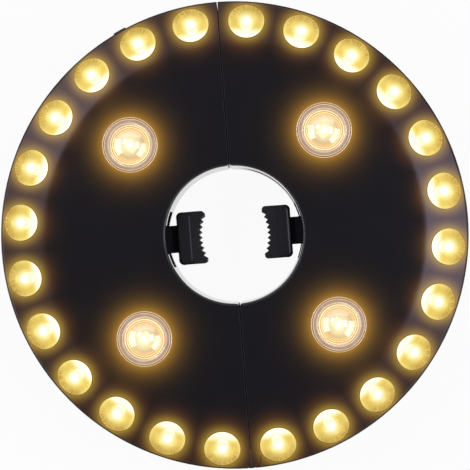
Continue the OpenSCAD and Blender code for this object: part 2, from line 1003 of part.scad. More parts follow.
function ring_points(t, turns, r0, r1, height, wire_r) =
  let (
    middle = coil_point(t, turns, r0, r1, height),
    outward = [cos(360 * t), sin(360 * t), 0]
  )
    [for (k = [0 : coil_sides - 1])
      middle + wire_r * (cos(360 * k / coil_sides) * outward + [0, 0, sin(360 * k / coil_sides)])];

module coil(turns, r0, r1, height, wire_r) {
  count = round(turns * coil_rings);
  inner_height = height - 2 * wire_r;
  rings = [for (i = [0 : count]) ring_points(i / coil_rings, turns, r0, r1, inner_height, wire_r)];
  points = [for (ring = rings, p = ring) p + [0, 0, wire_r]];
  sides = [
    for (i = [0 : count - 1], k = [0 : coil_sides - 1])
      let (a = i * coil_sides + k, b = i * coil_sides + (k + 1) % coil_sides)
        each [[a, a + coil_sides, b], [b, a + coil_sides, b + coil_sides]]
  ];
  first = [for (k = [1 : coil_sides - 2]) [0, k, k + 1]];
  n = count * coil_sides;
  last = [for (k = [1 : coil_sides - 2]) [n, n + k + 1, n + k]];
  polyhedron(points = points, faces = concat(sides, first, last));
  echo(coil_least_gap = least_gap(turns, r0, r1, inner_height, wire_r));
}

// Least distance between one turn and the next, less the wire's thickness
function least_gap(turns, r0, r1, height, wire_r) =
  min([for (t = [0 : 1 / coil_rings : turns - 1])
    norm(coil_point(t + 1, turns, r0, r1, height) - coil_point(t, turns, r0, r1, height))]) - 2 * wire_r;

module jaw_spring(side) {
  color(steel)
    on_side(side)
      translate([spring_floor_x, 0, jaw_z])
        rotate([0, 90, 0])
          coil(spring_turns, spring_r, spring_r, channel_x - spring_floor_x, spring_wire_r);
}

// ---- Battery box ----

module battery_box(side) {
  color(cover_black)
    on_side(side)
      difference() {
        translate([box_x, -bay_l / 2 - box_t, back_t])
          cube([bay_w + 2 * box_t, bay_l + 2 * box_t, bay_h + box_t]);
        difference() {
          translate([bay_x, -bay_l / 2, back_t - over])
            cube([bay_w, bay_l, bay_h + over]);
          translate([bay_x + cell_gap + cell_d, -bay_l / 3, cell_z + tail_up])
            cube([cell_gap, 2 * bay_l / 3, bay_h]);
        }
        at_lead_tails()
          cube([tail_w + 2 * pin_fit, box_t * 4, tail_w + 2 * pin_fit], center = true);
      }
}

// Draws a cell's piece with its nub towards +Y on the inner cell and -Y on the outer one
module at_cells() {
  for (i = [0, 1])
    translate([bay_x + cell_gap + cell_d / 2 + i * (cell_d + cell_gap), 0, cell_z])
      mirror([0, i, 0])
        children();
}

module battery_cells(side) {
  nub_end = bay_l / 2 - plate_t;
  color(cell_copper)
    on_side(side)
      at_cells()
        translate([0, nub_end, 0])
          rotate([90, 0, 0]) {
            cylinder(r = nub_r, h = nub_l + over);
            translate([0, 0, nub_l])
              cylinder(d = cell_d, h = cell_l);
          }
}

module contact_plate(width) {
  translate([-width / 2, -plate_t, -plate_h / 2])
    cube([width, plate_t, plate_h]);
}

// Two single plates with tails at one end, and one bridging plate at the other
module contact_plates(side) {
  color(steel)
    on_side(side) {
      for (i = [0, 1])
        translate([bay_x + cell_gap + cell_d / 2 + i * (cell_d + cell_gap), bay_l / 2, cell_z])
          contact_plate(plate_w);
      translate([bay_x + bay_w / 2, -bay_l / 2 + plate_t, cell_z])
        contact_plate(cell_d + cell_gap + plate_w);
      at_lead_tails()
        translate([0, box_t, 0])
          cube([tail_w, box_t * 2 + plate_t, tail_w], center = true);
    }
}

// The tails of the two single plates, in the box's end wall
module at_lead_tails() {
  for (i = [0, 1])
    translate([bay_x + cell_gap + cell_d / 2 + i * (cell_d + cell_gap), bay_l / 2, cell_z + tail_up])
      children();
}

module contact_springs(side) {
  color(steel)
    on_side(side)
      at_cells()
        translate([0, -bay_l / 2 + plate_t, 0])
          rotate([-90, 0, 0])
            coil(contact_turns, spring_end_r[0], spring_end_r[1], contact_len, contact_wire_r);
}

// Short leads from the plates' tails up to the lamp board
module battery_leads(side) {
  color([0.6, 0.05, 0.05])
    on_side(side)
      at_lead_tails()
        translate([0, 2 * box_t + plate_t / 2 + wire_r, -tail_w / 2])
          cylinder(r = wire_r, h = board_z - cell_z - tail_up + tail_w / 2);
}

// ---- Battery doors ----

module battery_door(side) {
  free_x = bay_x + bay_w - slip;
  width = bay_l - 2 * slip;
  color(cover_black)
    on_side(side) {
      difference() {
        union() {
          translate([door_x, -width / 2, door_z - door_edge_r])
            cube([free_x - door_x, width, door_t]);
          translate([door_x, 0, door_z])
            rotate([90, 0, 0])
              cylinder(r = door_edge_r, h = width, center = true);
        }
        door_grip(free_x);
      }
      translate([door_x, 0, door_z])
        rotate([90, 0, 0])
          cylinder(r = door_pin_r, h = bay_l + 2 * door_pin_l, center = true);
      latch(free_x);
    }
}

// Three grooves for the thumb
module door_grip(free_x) {
  for (i = [2 : 4])
    translate([free_x - grip_pitch * i, 0, 0])
      rotate([90, 0, 0])
        cylinder(r = grip_r, h = grip_w, center = true);
}

// Blade with a catch inside the free edge
module latch(free_x) {
  rise = door_edge_r + latch_rise;
  translate([free_x - latch_in - latch_t, -latch_w / 2, door_z])
    cube([latch_t, latch_w, rise]);
  translate([free_x - latch_in - latch_t, -latch_w / 2, door_z + rise - 3 * latch_catch])
    cube([latch_t + latch_catch, latch_w, 2 * latch_catch]);
}

// ---- Hinge, magnets and hooks ----

module hinge_pin() {
  color(steel)
    translate([0, pin_y, pin_z]) {
      cylinder(r = pin_head_r, h = knuckle_z[0] - pin_z - pin_fit);
      cylinder(r = pin_r, h = knuckle_z[3] - pin_z - fit);
    }
}

module closing_magnets(side) {
  color(steel)
    on_side(side)
      at_magnets()
        translate([0, 0, magnet_sink])
          cylinder(d = magnet_d, h = magnet_t);
}

// Flat J hook with a pivot barrel, folded into its pocket
module hanging_hook(side) {
  color(jaw_black)
    on_side(side)
      translate([hook_x, -side * hook_y, hook_z]) {
        rotate([90, 0, 0]) {
          cylinder(r = hook_barrel_r, h = hook_pocket_w - 2 * slip, center = true);
          cylinder(r = hook_pin_r, h = hook_pocket_w + 2 * (hook_pocket_t - hook_pin_gap), center = true);
        }
        translate([0, 0, -hook_t / 2])
          linear_extrude(hook_t)
            difference() {
              union() {
                translate([0, hook_r - hook_bar_w])
                  square([hook_l, hook_bar_w]);
                translate([hook_l, 0])
                  circle(r = hook_r);
              }
              translate([hook_l, 0])
                circle(r = hook_r - hook_curl_w);
              translate([hook_l - hook_r - over, hook_r - hook_bar_w - hook_gap])
                square([hook_r + over, hook_gap]);
            }
      }
}

// ---- Button, switch and driver ----

// A block of width w and height h around the button's middle, from r0 to r1
module button_block(r0, r1, w, h) {
  translate([r0, -w / 2, button_z - h / 2])
    cube([r1 - r0, w, h]);
}

module power_button() {
  face_r = disc_r + button_out;
  color(jaw_black)
    at_button() {
      button_block(button_root_r - over, face_r - button_cap_t, button_w, button_h);
      button_block(button_root_r, face_r, button_w - 2 * button_cap_t, button_h - 2 * button_cap_t);
      button_block(
        button_root_r - button_flange_t,
        button_root_r,
        button_w + 2 * button_flange,
        button_h + 2 * button_flange
      );
      translate([button_back_r, 0, button_z])
        rotate([0, 90, 0])
          cylinder(r = button_stem_r, h = button_root_r - button_back_r);
    }
}

module button_switch() {
  back_r = button_back_r - switch_gap - plunger_l;
  color(steel)
    at_button() {
      translate([back_r - switch_t, -switch_w / 2, board_z - button_drop - switch_w / 2])
        cube([switch_t, switch_w, switch_w / 2 + button_drop]);
      translate([back_r - fit, 0, button_z])
        rotate([0, 90, 0])
          cylinder(r = plunger_r, h = plunger_l + fit);
    }
}

// Control chip and resistors under the left board
module driver_parts() {
  color([0.1, 0.1, 0.1])
    rotate([0, 0, driver_angle]) {
      translate([driver_r, -chip_size[1] / 2, board_z - chip_size[2]])
        cube(chip_size);
      for (i = [-1.5 : 1.5])
        translate([driver_r - resistor_in, resistor_pitch * i - resistor_size[1] / 2, board_z - resistor_size[2]])
          cube(resistor_size);
    }
}

front_shell(LEFT);  // front_shell_left
front_shell(RIGHT);  // front_shell_right
back_cover(LEFT);  // back_cover_left
back_cover(RIGHT);  // back_cover_right
lamp_board(LEFT);  // lamp_board_left
lamp_board(RIGHT);  // lamp_board_right
ring_cups(LEFT);  // ring_cups_left
ring_cups(RIGHT);  // ring_cups_right
ring_lamps(LEFT);  // ring_lamps_left
ring_lamps(RIGHT);  // ring_lamps_right
spot_cups(LEFT);  // spot_cups_left
spot_cups(RIGHT);  // spot_cups_right
spot_lamps(LEFT);  // spot_lamps_left
spot_lamps(RIGHT);  // spot_lamps_right
spot_lenses(LEFT);  // spot_lenses_left
spot_lenses(RIGHT);  // spot_lenses_right
jaw_guide(LEFT);  // jaw_guide_left
jaw_guide(RIGHT);  // jaw_guide_right
jaw(LEFT);  // jaw_left
jaw(RIGHT);  // jaw_right
grip_pad(LEFT);  // grip_pad_left
grip_pad(RIGHT);  // grip_pad_right
jaw_spring(LEFT);  // jaw_spring_left
jaw_spring(RIGHT);  // jaw_spring_right
battery_box(LEFT);  // battery_box_left
battery_box(RIGHT);  // battery_box_right
battery_cells(LEFT);  // battery_cells_left
battery_cells(RIGHT);  // battery_cells_right
contact_plates(LEFT);  // contact_plates_left
contact_plates(RIGHT);  // contact_plates_right
contact_springs(LEFT);  // contact_springs_left
contact_springs(RIGHT);  // contact_springs_right
battery_leads(LEFT);  // battery_leads_left
battery_leads(RIGHT);  // battery_leads_right
battery_door(LEFT);  // battery_door_left
battery_door(RIGHT);  // battery_door_right
cover_screws(LEFT);  // cover_screws_left
cover_screws(RIGHT);  // cover_screws_right
board_screws(LEFT);  // board_screws_left
board_screws(RIGHT);  // board_screws_right
closing_magnets(LEFT);  // closing_magnets_left
closing_magnets(RIGHT);  // closing_magnets_right
hanging_hook(LEFT);  // hanging_hook_left
hanging_hook(RIGHT);  // hanging_hook_right
hinge_pin();
power_button();
button_switch();
driver_parts();
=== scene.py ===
import json
import math

import bmesh
import bpy
from mathutils import Matrix, Vector


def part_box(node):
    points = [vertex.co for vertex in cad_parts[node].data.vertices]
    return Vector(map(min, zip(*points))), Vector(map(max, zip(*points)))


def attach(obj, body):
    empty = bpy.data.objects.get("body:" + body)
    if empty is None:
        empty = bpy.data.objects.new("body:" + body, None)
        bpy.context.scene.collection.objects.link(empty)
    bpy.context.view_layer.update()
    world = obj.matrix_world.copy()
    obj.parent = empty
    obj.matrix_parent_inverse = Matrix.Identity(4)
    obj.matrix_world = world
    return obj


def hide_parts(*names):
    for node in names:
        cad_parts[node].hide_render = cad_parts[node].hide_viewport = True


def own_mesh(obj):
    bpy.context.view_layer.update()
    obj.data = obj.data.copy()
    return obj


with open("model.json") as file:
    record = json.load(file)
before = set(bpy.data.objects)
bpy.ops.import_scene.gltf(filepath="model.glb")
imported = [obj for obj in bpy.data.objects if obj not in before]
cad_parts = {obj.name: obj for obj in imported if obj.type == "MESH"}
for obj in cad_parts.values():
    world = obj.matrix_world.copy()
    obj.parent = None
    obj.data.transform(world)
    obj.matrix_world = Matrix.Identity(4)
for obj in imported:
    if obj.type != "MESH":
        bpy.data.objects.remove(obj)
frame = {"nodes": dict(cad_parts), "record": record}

scene = bpy.context.scene
nodes = frame["nodes"]
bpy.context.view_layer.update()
sides = {"left": -1, "right": 1}
mm = 0.001
print("frame loaded:", len(nodes), "nodes")

# Sizes of the light in millimetres, the same as in its source
light = {
    "rimR": 100,
    "holeR": 29.25,
    "flatR": 81,
    "faceZ": 34,
    "slope": math.radians(15),
    "ringR": 91.2,
    "ringCount": 24,
    "spotR": 58.4,
    "boardTop": 21.2,
}
lampStep = 2 * math.pi / light["ringCount"]


# The camera stands over the lamps, a little right of and below the middle, as in the photograph
view = {
    "roll": math.radians(4.3),   # the light is turned anticlockwise in the picture
    "height": 740,
    "right": 10.5,
    "down": 6.2,
    "target": (0.25, -0.12, 27.8),   # on the picture's own axes, at the height of the rim's edge
    "halfFrame": 100.5,          # half the picture's width at the rim's edge
    "sensor": 36,
}


def placeCamera():
    across = Vector((math.cos(view["roll"]), -math.sin(view["roll"]), 0))
    upward = Vector((math.sin(view["roll"]), math.cos(view["roll"]), 0))
    eye = (across * view["right"] - upward * view["down"] + Vector((0, 0, view["height"]))) * mm
    aim = view["target"]
    target = (across * aim[0] + upward * aim[1] + Vector((0, 0, aim[2]))) * mm
    ahead = (target - eye).normalized()
    rightward = ahead.cross(upward).normalized()
    top = rightward.cross(ahead)
    lens = bpy.data.cameras.new("camera")
    lens.sensor_width = view["sensor"]
    lens.lens = view["sensor"] / 2 * (target - eye).length / (view["halfFrame"] * mm)
    lens.clip_start = 0.01
    camera = bpy.data.objects.new("camera", lens)
    camera.matrix_world = Matrix((
        (rightward.x, top.x, -ahead.x, eye.x),
        (rightward.y, top.y, -ahead.y, eye.y),
        (rightward.z, top.z, -ahead.z, eye.z),
        (0, 0, 0, 1),
    ))
    scene.collection.objects.link(camera)
    scene.camera = camera


placeCamera()
scene.view_settings.view_transform = "Standard"
print("camera placed")


# Node trees are written as sums. A Graph adds nodes, and a Socket is one output of a node.
class Graph:
    def __init__(self, tree):
        self.tree = tree

    def pick(self, sockets, key):
        if isinstance(key, str):
            return next(s for s in sockets if s.name == key and s.enabled)
        return sockets[key]

    def add(self, kind, settings=None, values=None, output=0):
        node = self.tree.nodes.new(kind)
        for name, value in (settings or {}).items():
            setattr(node, name, value)
        for key, value in (values or {}).items():
            self.feed(self.pick(node.inputs, key), value)
        return Socket(self, self.pick(node.outputs, output)) if node.outputs else node

    def feed(self, target, value):
        if isinstance(value, Socket):
            self.tree.links.new(value.end, target)
        elif target.type == "RGBA" and len(value) == 3:
            target.default_value = (*value, 1)
        else:
            target.default_value = value


class Socket:
    def __init__(self, graph, end):
        self.graph = graph
        self.end = end

    def out(self, name):
        return Socket(self.graph, self.graph.pick(self.end.node.outputs, name))

    def math(self, operation, *terms):
        return self.graph.add("ShaderNodeMath", {"operation": operation}, dict(enumerate(terms)))

    def __add__(self, other):
        return self.math("ADD", self, other)

    def __radd__(self, other):
        return self.math("ADD", other, self)

    def __sub__(self, other):
        return self.math("SUBTRACT", self, other)

    def __rsub__(self, other):
        return self.math("SUBTRACT", other, self)

    def __mul__(self, other):
        return self.math("MULTIPLY", self, other)

    def __truediv__(self, other):
        return self.math("DIVIDE", self, other)

    def __mod__(self, other):
        return self.math("FLOORED_MODULO", self, other)

    def __neg__(self):
        return self.math("MULTIPLY", self, -1)


def hypot(a, b):
    total = a * a + b * b
    return total.math("SQRT", total)


def absolute(a):
    return a.math("ABSOLUTE", a)


def cosine(a):
    return a.math("COSINE", a)


def sine(a):
    return a.math("SINE", a)


def exponent(a):
    return a.math("EXPONENT", a)


def greater(a, b):
    return a.math("MAXIMUM", a, b)


def lesser(a, b):
    return a.math("MINIMUM", a, b)


def angleOf(x, y):
    return y.math("ARCTAN2", y, x)


# 0 below start, 1 above end, with a soft step between
def rise(value, start, end):
    if start > end:
        return 1 - rise(value, end, start)
    return value.graph.add(
        "ShaderNodeMapRange",
        {"interpolation_type": "SMOOTHSTEP"},
        {"Value": value, "From Min": start, "From Max": end},
        "Result",
    )


# 1 on a line at the given place, falling to 0 over its half width
def line(value, place, halfWidth):
    return rise(absolute(value - place), halfWidth, 0)


def blendColours(first, *layers):
    colour = first
    for mask, second in layers:
        values = {"Factor": mask, "A": colour, "B": second}
        colour = mask.graph.add("ShaderNodeMix", {"data_type": "RGBA"}, values, "Result")
    return colour


def addColours(graph, first, second):
    settings = {"data_type": "RGBA", "blend_type": "ADD"}
    return graph.add("ShaderNodeMix", settings, {"Factor": 1, "A": first, "B": second}, "Result")


# A colour times a value that may pass 1
def litBy(level, colour):
    values = {"Vector": colour, "Scale": level}
    return level.graph.add("ShaderNodeVectorMath", {"operation": "SCALE"}, values)


def noise(graph, place, scale, detail=2, roughness=0.5):
    values = {"Vector": place, "Scale": scale, "Detail": detail, "Roughness": roughness}
    return graph.add("ShaderNodeTexNoise", {}, values)


def axes(graph, vector, scale=1 / mm):
    split = graph.add("ShaderNodeSeparateXYZ", {}, {"Vector": vector})
    return split * scale, split.out("Y") * scale, split.out("Z") * scale


def point(graph, **values):
    return graph.add("ShaderNodeCombineXYZ", {}, values)


def attribute(graph, name, output):
    return graph.add("ShaderNodeAttribute", {"attribute_name": name}, {}, output)


def bump(graph, height, distance):
    return graph.add("ShaderNodeBump", {}, {"Height": height, "Distance": distance * mm, "Strength": 1})


def plastic(graph, values):
    return graph.add("ShaderNodeBsdfPrincipled", {}, values)


def makeMaterial(name, surface):
    material = bpy.data.materials.new(name)
    material.use_nodes = True
    material.node_tree.nodes.clear()
    graph = Graph(material.node_tree)
    place = graph.add("ShaderNodeTexCoord", {}, {}, "Object")
    graph.add("ShaderNodeOutputMaterial", {}, {"Surface": surface(graph, place)})
    return material


# Studio: a pale floor, a sky that is bright near the horizon, and soft windows
studio = {
    "floorHalf": 6,
    "floorZ": -0.0004,
    "floorColour": (0.86, 0.86, 0.86),
    "floorGrain": (0.8, 0.8, 0.8),
    "floorWhite": 0.945,          # share of the floor's plain white that the camera sees
    "horizon": 1.0,
    "zenith": 0.05,
    "skyFade": (0.05, 0.85),      # heights between which the sky darkens
}
panels = {
    # degrees round from the picture's right, elevation, distance, width, height, radiance, colour
    "rightWindow": (-22, 20, 0.9, 1.1, 0.54, 2.1, (1, 1, 1)),
    "leftWindow": (184, 21, 0.9, 1.1, 0.6, 2.1, (1, 1, 1)),
    "topWindow": (96, 27, 0.9, 2.3, 0.56, 0.9, (1, 0.86, 0.98)),
    "rightBand": (4, 53, 1.0, 0.55, 0.26, 4.0, (0.86, 0.8, 1.1)),
    "leftBand": (146, 53, 1.0, 0.42, 0.26, 3.2, (1, 0.85, 1.0)),
}


def floorSurface(graph, place):
    path = graph.add("ShaderNodeLightPath", {}, {}, "Is Camera Ray")
    seen = greater(greater(path, path.out("Is Glossy Ray")), path.out("Is Transmission Ray"))
    grain = noise(graph, place, 3, 3)
    colour = blendColours(studio["floorColour"], (grain * 0.2, studio["floorGrain"]))
    matt = graph.add("ShaderNodeBsdfDiffuse", {}, {"Color": colour})
    white = graph.add("ShaderNodeEmission", {}, {"Color": (1, 1, 1), "Strength": 1})
    return graph.add("ShaderNodeMixShader", {}, {0: seen * studio["floorWhite"], 1: matt, 2: white})


def makeStudio():
    half, low = studio["floorHalf"], studio["floorZ"]
    corners = [(-half, -half, low), (half, -half, low), (half, half, low), (-half, half, low)]
    mesh = bpy.data.meshes.new("floor")
    mesh.from_pydata(corners, [], [(0, 1, 2, 3)])
    floor = bpy.data.objects.new("floor", mesh)
    scene.collection.objects.link(floor)
    mesh.materials.append(makeMaterial("floorPaper", floorSurface))

    world = bpy.data.worlds.new("studio")
    world.use_nodes = True
    world.node_tree.nodes.clear()
    scene.world = world
    graph = Graph(world.node_tree)
    toward = graph.add("ShaderNodeTexCoord", {}, {}, "Generated")
    height = axes(graph, toward, 1)[2]
    level = studio["horizon"] + rise(height, *studio["skyFade"]) * (studio["zenith"] - studio["horizon"])
    sky = graph.add("ShaderNodeBackground", {}, {"Color": (1, 1, 1), "Strength": level})
    graph.add("ShaderNodeOutputWorld", {}, {"Surface": sky})

    for name, (turn, elevation, distance, width, height, radiance, colour) in panels.items():
        lamp = bpy.data.lights.new(name, "AREA")
        lamp.shape = "RECTANGLE"
        lamp.size = width
        lamp.size_y = height
        lamp.energy = radiance * math.pi * width * height
        lamp.color = colour
        turn = math.radians(turn) - view["roll"]
        elevation = math.radians(elevation)
        flat = math.cos(elevation)
        spot = Vector((math.cos(turn) * flat, math.sin(turn) * flat, math.sin(elevation))) * distance
        panel = bpy.data.objects.new(name, lamp)
        panel.location = spot
        panel.rotation_euler = spot.to_track_quat("Z", "Y").to_euler()
        panel.visible_camera = False
        scene.collection.objects.link(panel)


makeStudio()
print("studio lit")


shellFinish = {
    "base": (0.0082, 0.0078, 0.0098),
    "dust": (0.014, 0.0135, 0.0155),
    "roughness": 0.27,
    "polish": 0.05,                       # roughness of the pole opening's wall
    "seam": 0.6,                          # roughness of the walls of the seam
    "seamHalf": (0.5, 0.3),
    "front": (22, 27),                    # heights over which the front begins
    "holeWall": (0.5, 0.1),               # from the radius of the opening
    # painted highlight: a pale line on the face round the opening, at its rounded front edge
    "holeWear": (1.0, 0.5),
    "matt": (0.01, 0.01, 0.011),          # rim's rounding and the line in the opening's wall
    "mattRim": 0.85,
    "rimEdge": (-1.1, -0.5),              # from the radius of the rim
    "rimHeight": (26.9, 27.5),
    "lineZ": 21,                          # middle of the dark line in the opening's wall
    "lineSlant": 0.25,
    "lineEdge": (6.4, 4.8),
    "lineStart": (2, 12),                 # it begins on the right, and darkens away from the hinge
    "lineDarkening": (-6, 8),
    "lineLevels": (0.4, 0.55),            # its strength at first, and what is added
    "cloudScale": 160,
    "grainScale": 5200,
    "rippleScale": 240,
    "speckScale": 1500,
    "specks": (0.7, 0.78),
    "grain": 0.006,                       # height of the fine moulded grain
    "foldHalf": 1.7,                      # half width of the soft fold between face and band
    "foldDeep": 0.11,
    "spotGlow": (1.0, 0.49, 0.05),        # warm light that the lamps throw on the black face
    "spotGlowLevel": 0.27,
    "spotGlowMost": 0.37,
    "spotGlowStart": 12.8,
    "spotGlowFade": 3.3,
    "underLens": 0.12,                    # share of the glow that is left under a lens
    "lensEdge": (11.3, 11.9),
    "ringGlow": (1.0, 0.58, 0.06),
    "ringGlowFar": (1.0, 0.38, 0.06),
    "ringGlowLevel": 0.25,
    "ringGlowMost": 0.36,
    "ringGlowStart": 8.5,
    "ringGlowFade": 2.3,
    "ringGlowTurn": (9.2, 12.5),          # where it takes the far colour
    "ringGlowInner": (34, 44),            # where it ends towards the pole
}


# How far a point is from the nearest of the lamps on one circle
def nearestLamp(x, y, radius, step):
    turn = angleOf(x, y)
    fold = (turn / step % 1 - 0.5) * step
    reach = hypot(x, y)
    return hypot(reach * cosine(fold) - radius, reach * sine(fold))


# Light from the lamps that fades over the distance, up to a highest level
def glowAt(away, name):
    start, fade = shellFinish[name + "Start"], shellFinish[name + "Fade"]
    level = exponent((start - away) / fade) * shellFinish[name + "Level"]
    return lesser(level, shellFinish[name + "Most"])


def shellSurface(graph, place):
    finish = shellFinish
    x, y, z = axes(graph, place)
    reach = hypot(x, y)
    front = rise(z, *finish["front"])
    toRing = nearestLamp(x, y, light["ringR"], lampStep)
    toSpot = nearestLamp(x, y, light["spotR"], math.pi / 2)
    ringLevel = glowAt(toRing, "ringGlow") * front * rise(reach, *finish["ringGlowInner"])
    pastLens = rise(toSpot, *finish["lensEdge"]) * (1 - finish["underLens"])
    spotLevel = glowAt(toSpot, "spotGlow") * front * (finish["underLens"] + pastLens)
    cloud = noise(graph, place, finish["cloudScale"], 4, 0.6)
    unevenness = 0.94 + cloud * 0.12
    farShare = rise(toRing, *finish["ringGlowTurn"])
    ringColour = blendColours(finish["ringGlow"], (farShare, finish["ringGlowFar"]))
    ringGlow = litBy(ringLevel * unevenness, ringColour)
    glow = addColours(graph, ringGlow, litBy(spotLevel * unevenness, finish["spotGlow"]))
    grain = noise(graph, place, finish["grainScale"], 2)
    ripple = noise(graph, place, finish["rippleScale"], 2)
    inHole = rise(reach - light["holeR"], *finish["holeWall"])
    seam = rise(absolute(x), *finish["seamHalf"])
    rim = rise(reach - light["rimR"], *finish["rimEdge"]) * rise(z, *finish["rimHeight"])
    # Painted highlight round the opening's front edge, in the same colour as the dust specks
    paintedHoleHighlight = line(reach - light["holeR"], *finish["holeWear"]) * front
    fromLine = z - (finish["lineZ"] - y * finish["lineSlant"])
    lineFaint, lineMore = finish["lineLevels"]
    wallLine = inHole * rise(absolute(fromLine), *finish["lineEdge"]) * rise(x, *finish["lineStart"])
    wallLine = wallLine * (lineFaint + rise(y, *finish["lineDarkening"]) * lineMore)
    specks = rise(noise(graph, place, finish["speckScale"], 3), *finish["specks"])
    base = blendColours(finish["base"], (specks * 0.25, finish["dust"]), (paintedHoleHighlight * 0.6, finish["dust"]))
    satin = finish["roughness"] + cloud * 0.07 + seam * (finish["seam"] - finish["roughness"])
    fromFold = reach - light["flatR"]
    fold = greater(1 - absolute(fromFold) / finish["foldHalf"], 0)
    moulding = (grain * 0.6 + ripple * 0.4) * (1 - inHole) * finish["grain"]
    height = moulding - fold * fold * finish["foldDeep"] * front
    moulded = plastic(graph, {
        "Base Color": base,
        "Roughness": satin * (1 - inHole) + inHole * finish["polish"],
        "Emission Color": glow,
        "Emission Strength": 1,
        "Normal": bump(graph, height, 1),
    })
    matt = graph.add("ShaderNodeBsdfDiffuse", {}, {"Color": finish["matt"]})
    dull = greater(rim * finish["mattRim"], wallLine)
    return graph.add("ShaderNodeMixShader", {}, {0: dull, 1: moulded, 2: matt})


coverFinish = {
    "base": (0.021, 0.021, 0.023),
    "rub": (0.045, 0.044, 0.045),
    "roughness": 0.58,
    "grain": 0.05,
}
jawFinish = {
    "base": (0.0065, 0.0065, 0.0082),
    "rub": (0.02, 0.02, 0.022),
    "roughness": 0.42,
    "grain": 0.02,
}
buttonFinish = {
    "base": (0.014, 0.014, 0.016),
    "rub": (0.04, 0.04, 0.042),
    "roughness": 0.36,
    "grain": 0.012,
}
wear = {"pitScale": 2600, "patchScale": 110, "patches": (0.4, 0.6), "scuffScale": 700, "scuffs": (0.62, 0.74)}
# Painted highlight on each jaw's head: its colour, places and strength
jawHighlightLine = {
    "colour": (0.17, 0.17, 0.175),
    "right": 23.2,
    "left": -18.9,
    "leftShare": 0.5,
    "half": 0.46,
    "strength": 0.9,
    "heights": (25.3, 25.8),
    "ends": (10.18, 8.91),       # from the middle of the head
}


# Painted highlight: a pale line across the front of each jaw's head, where its rounded back edge catches the
# light
def paintedJawHighlight(graph, place):
    x, y, z = axes(graph, place)
    right = line(x, jawHighlightLine["right"], jawHighlightLine["half"])
    left = line(x, jawHighlightLine["left"], jawHighlightLine["half"]) * jawHighlightLine["leftShare"]
    limits = rise(z, *jawHighlightLine["heights"]) * rise(absolute(y), *jawHighlightLine["ends"])
    return greater(right, left) * limits * jawHighlightLine["strength"]


# Black moulded plastic with a sparked grain and a little wear
def mouldedBlack(finish):
    def surface(graph, place):
        pits = graph.add("ShaderNodeTexVoronoi", {}, {"Vector": place, "Scale": wear["pitScale"]})
        cloud = noise(graph, place, wear["patchScale"], 4, 0.6)
        scuffs = rise(noise(graph, place, wear["scuffScale"], 4, 0.7), *wear["scuffs"])
        scuffs = scuffs * rise(cloud, *wear["patches"])
        base = blendColours(finish["base"], (scuffs * 0.5, finish["rub"]))
        # The jaws also get the painted highlight line
        if finish is jawFinish:
            base = blendColours(base, (paintedJawHighlight(graph, place), jawHighlightLine["colour"]))
        return plastic(graph, {
            "Base Color": base,
            "Roughness": finish["roughness"] + cloud * 0.1 - scuffs * 0.05,
            "Normal": bump(graph, pits, finish["grain"]),
        })
    return surface


rubberFinish = {
    "base": (0.0075, 0.0075, 0.0092),
    "bloom": (0.015, 0.015, 0.016),
    "blooms": (0.45, 0.75),
    "roughness": 0.62,
    "mouldLine": (17, 0.12),
}


def rubberSurface(graph, place):
    x, y, z = axes(graph, place)
    cloud = noise(graph, place, 300, 4, 0.65)
    grain = noise(graph, place, 3800, 2)
    mouldLine = line(z, *rubberFinish["mouldLine"])
    bloom = rise(cloud, *rubberFinish["blooms"]) * 0.5
    base = blendColours(rubberFinish["base"], (bloom, rubberFinish["bloom"]))
    return plastic(graph, {
        "Base Color": base,
        "Roughness": rubberFinish["roughness"] + grain * 0.12,
        "Specular IOR Level": 0.4,
        "Normal": bump(graph, grain * 0.7 + mouldLine * 1.5, 0.03),
    })


# The glare round the lit tip of a ring lamp, in millimetres from the middle of the cup's mouth
glare = {
    "white": (1.0, 1.0, 0.97),
    "pale": (0.98, 0.96, 0.66),
    "yellow": (0.9, 0.74, 0.25),
    "whiteTo": (2.1, 0.4),
    "paleTo": (3.3, 1.6),
    "yellowTo": (4.7, 2.8),
    "middle": 0.4,
    "lean": 0.4,                     # sideways shift for each millimetre down, as the camera sees it
}


def addGlare(colour, reach):
    return blendColours(
        colour,
        (rise(reach, *glare["yellowTo"]), glare["yellow"]),
        (rise(reach, *glare["paleTo"]), glare["pale"]),
        (rise(reach, *glare["whiteTo"]), glare["white"]),
    )


# Lit colours of a ring cup, and where each of them begins and ends
goldFinish = {
    "metal": (0.14, 0.1, 0.035),
    "streak": (0.26, 0.18, 0.07),
    "roughness": 0.26,
    "warm": (0.66, 0.51, 0.115),     # lit bowl round the glare
    "mouth": (0.72, 0.58, 0.15),     # lit bowl near the lip
    "amber": (0.33, 0.2, 0.03),      # lit bowl on the outer side
    "inside": (0.93, 0.93, 0.66),    # lit bowl between the lamp and the crescent
    "dawn": (0.92, 0.86, 0.4),       # pale edge of the crescent
    "white": (0.96, 0.94, 0.86),     # the bright crescent on the inner side
    "lip": (0.72, 0.56, 0.17),
    "outerLip": (0.3, 0.19, 0.045),
    "level": 1.0,
    "mouthTo": (6.0, 7.0),
    "amberTo": (3.4, 6.4),
    "amberSide": (-1, 5.5),
    "insideTo": (5.2, 2.4),
    "insideSide": (0.4, -1.8),
    "insideMiddle": 0.2,
    "insideSquash": 1.15,
    "dawnTo": (-1.4, -5),
    "dawnCurve": 0.02,
    "whiteTo": (-3.2, -5.6),
    "lipTo": (7.3, 7.5),
    "outerLipTo": (2, 6),
    "floorTo": (-5.4, -4.4),
    "wallTo": (7.85, 7.6),
    "streaks": (0.38, 0.68),
    "spokes": (4.6, 20, 0.12),       # round the cup, from cup to cup, along the radius
    "spokeScale": 2.2,
}


# A lamp piece's own place: X outwards from the pole, Z out of the cup
def ownAxes(graph):
    return axes(graph, attribute(graph, "ownPlace", "Vector"))
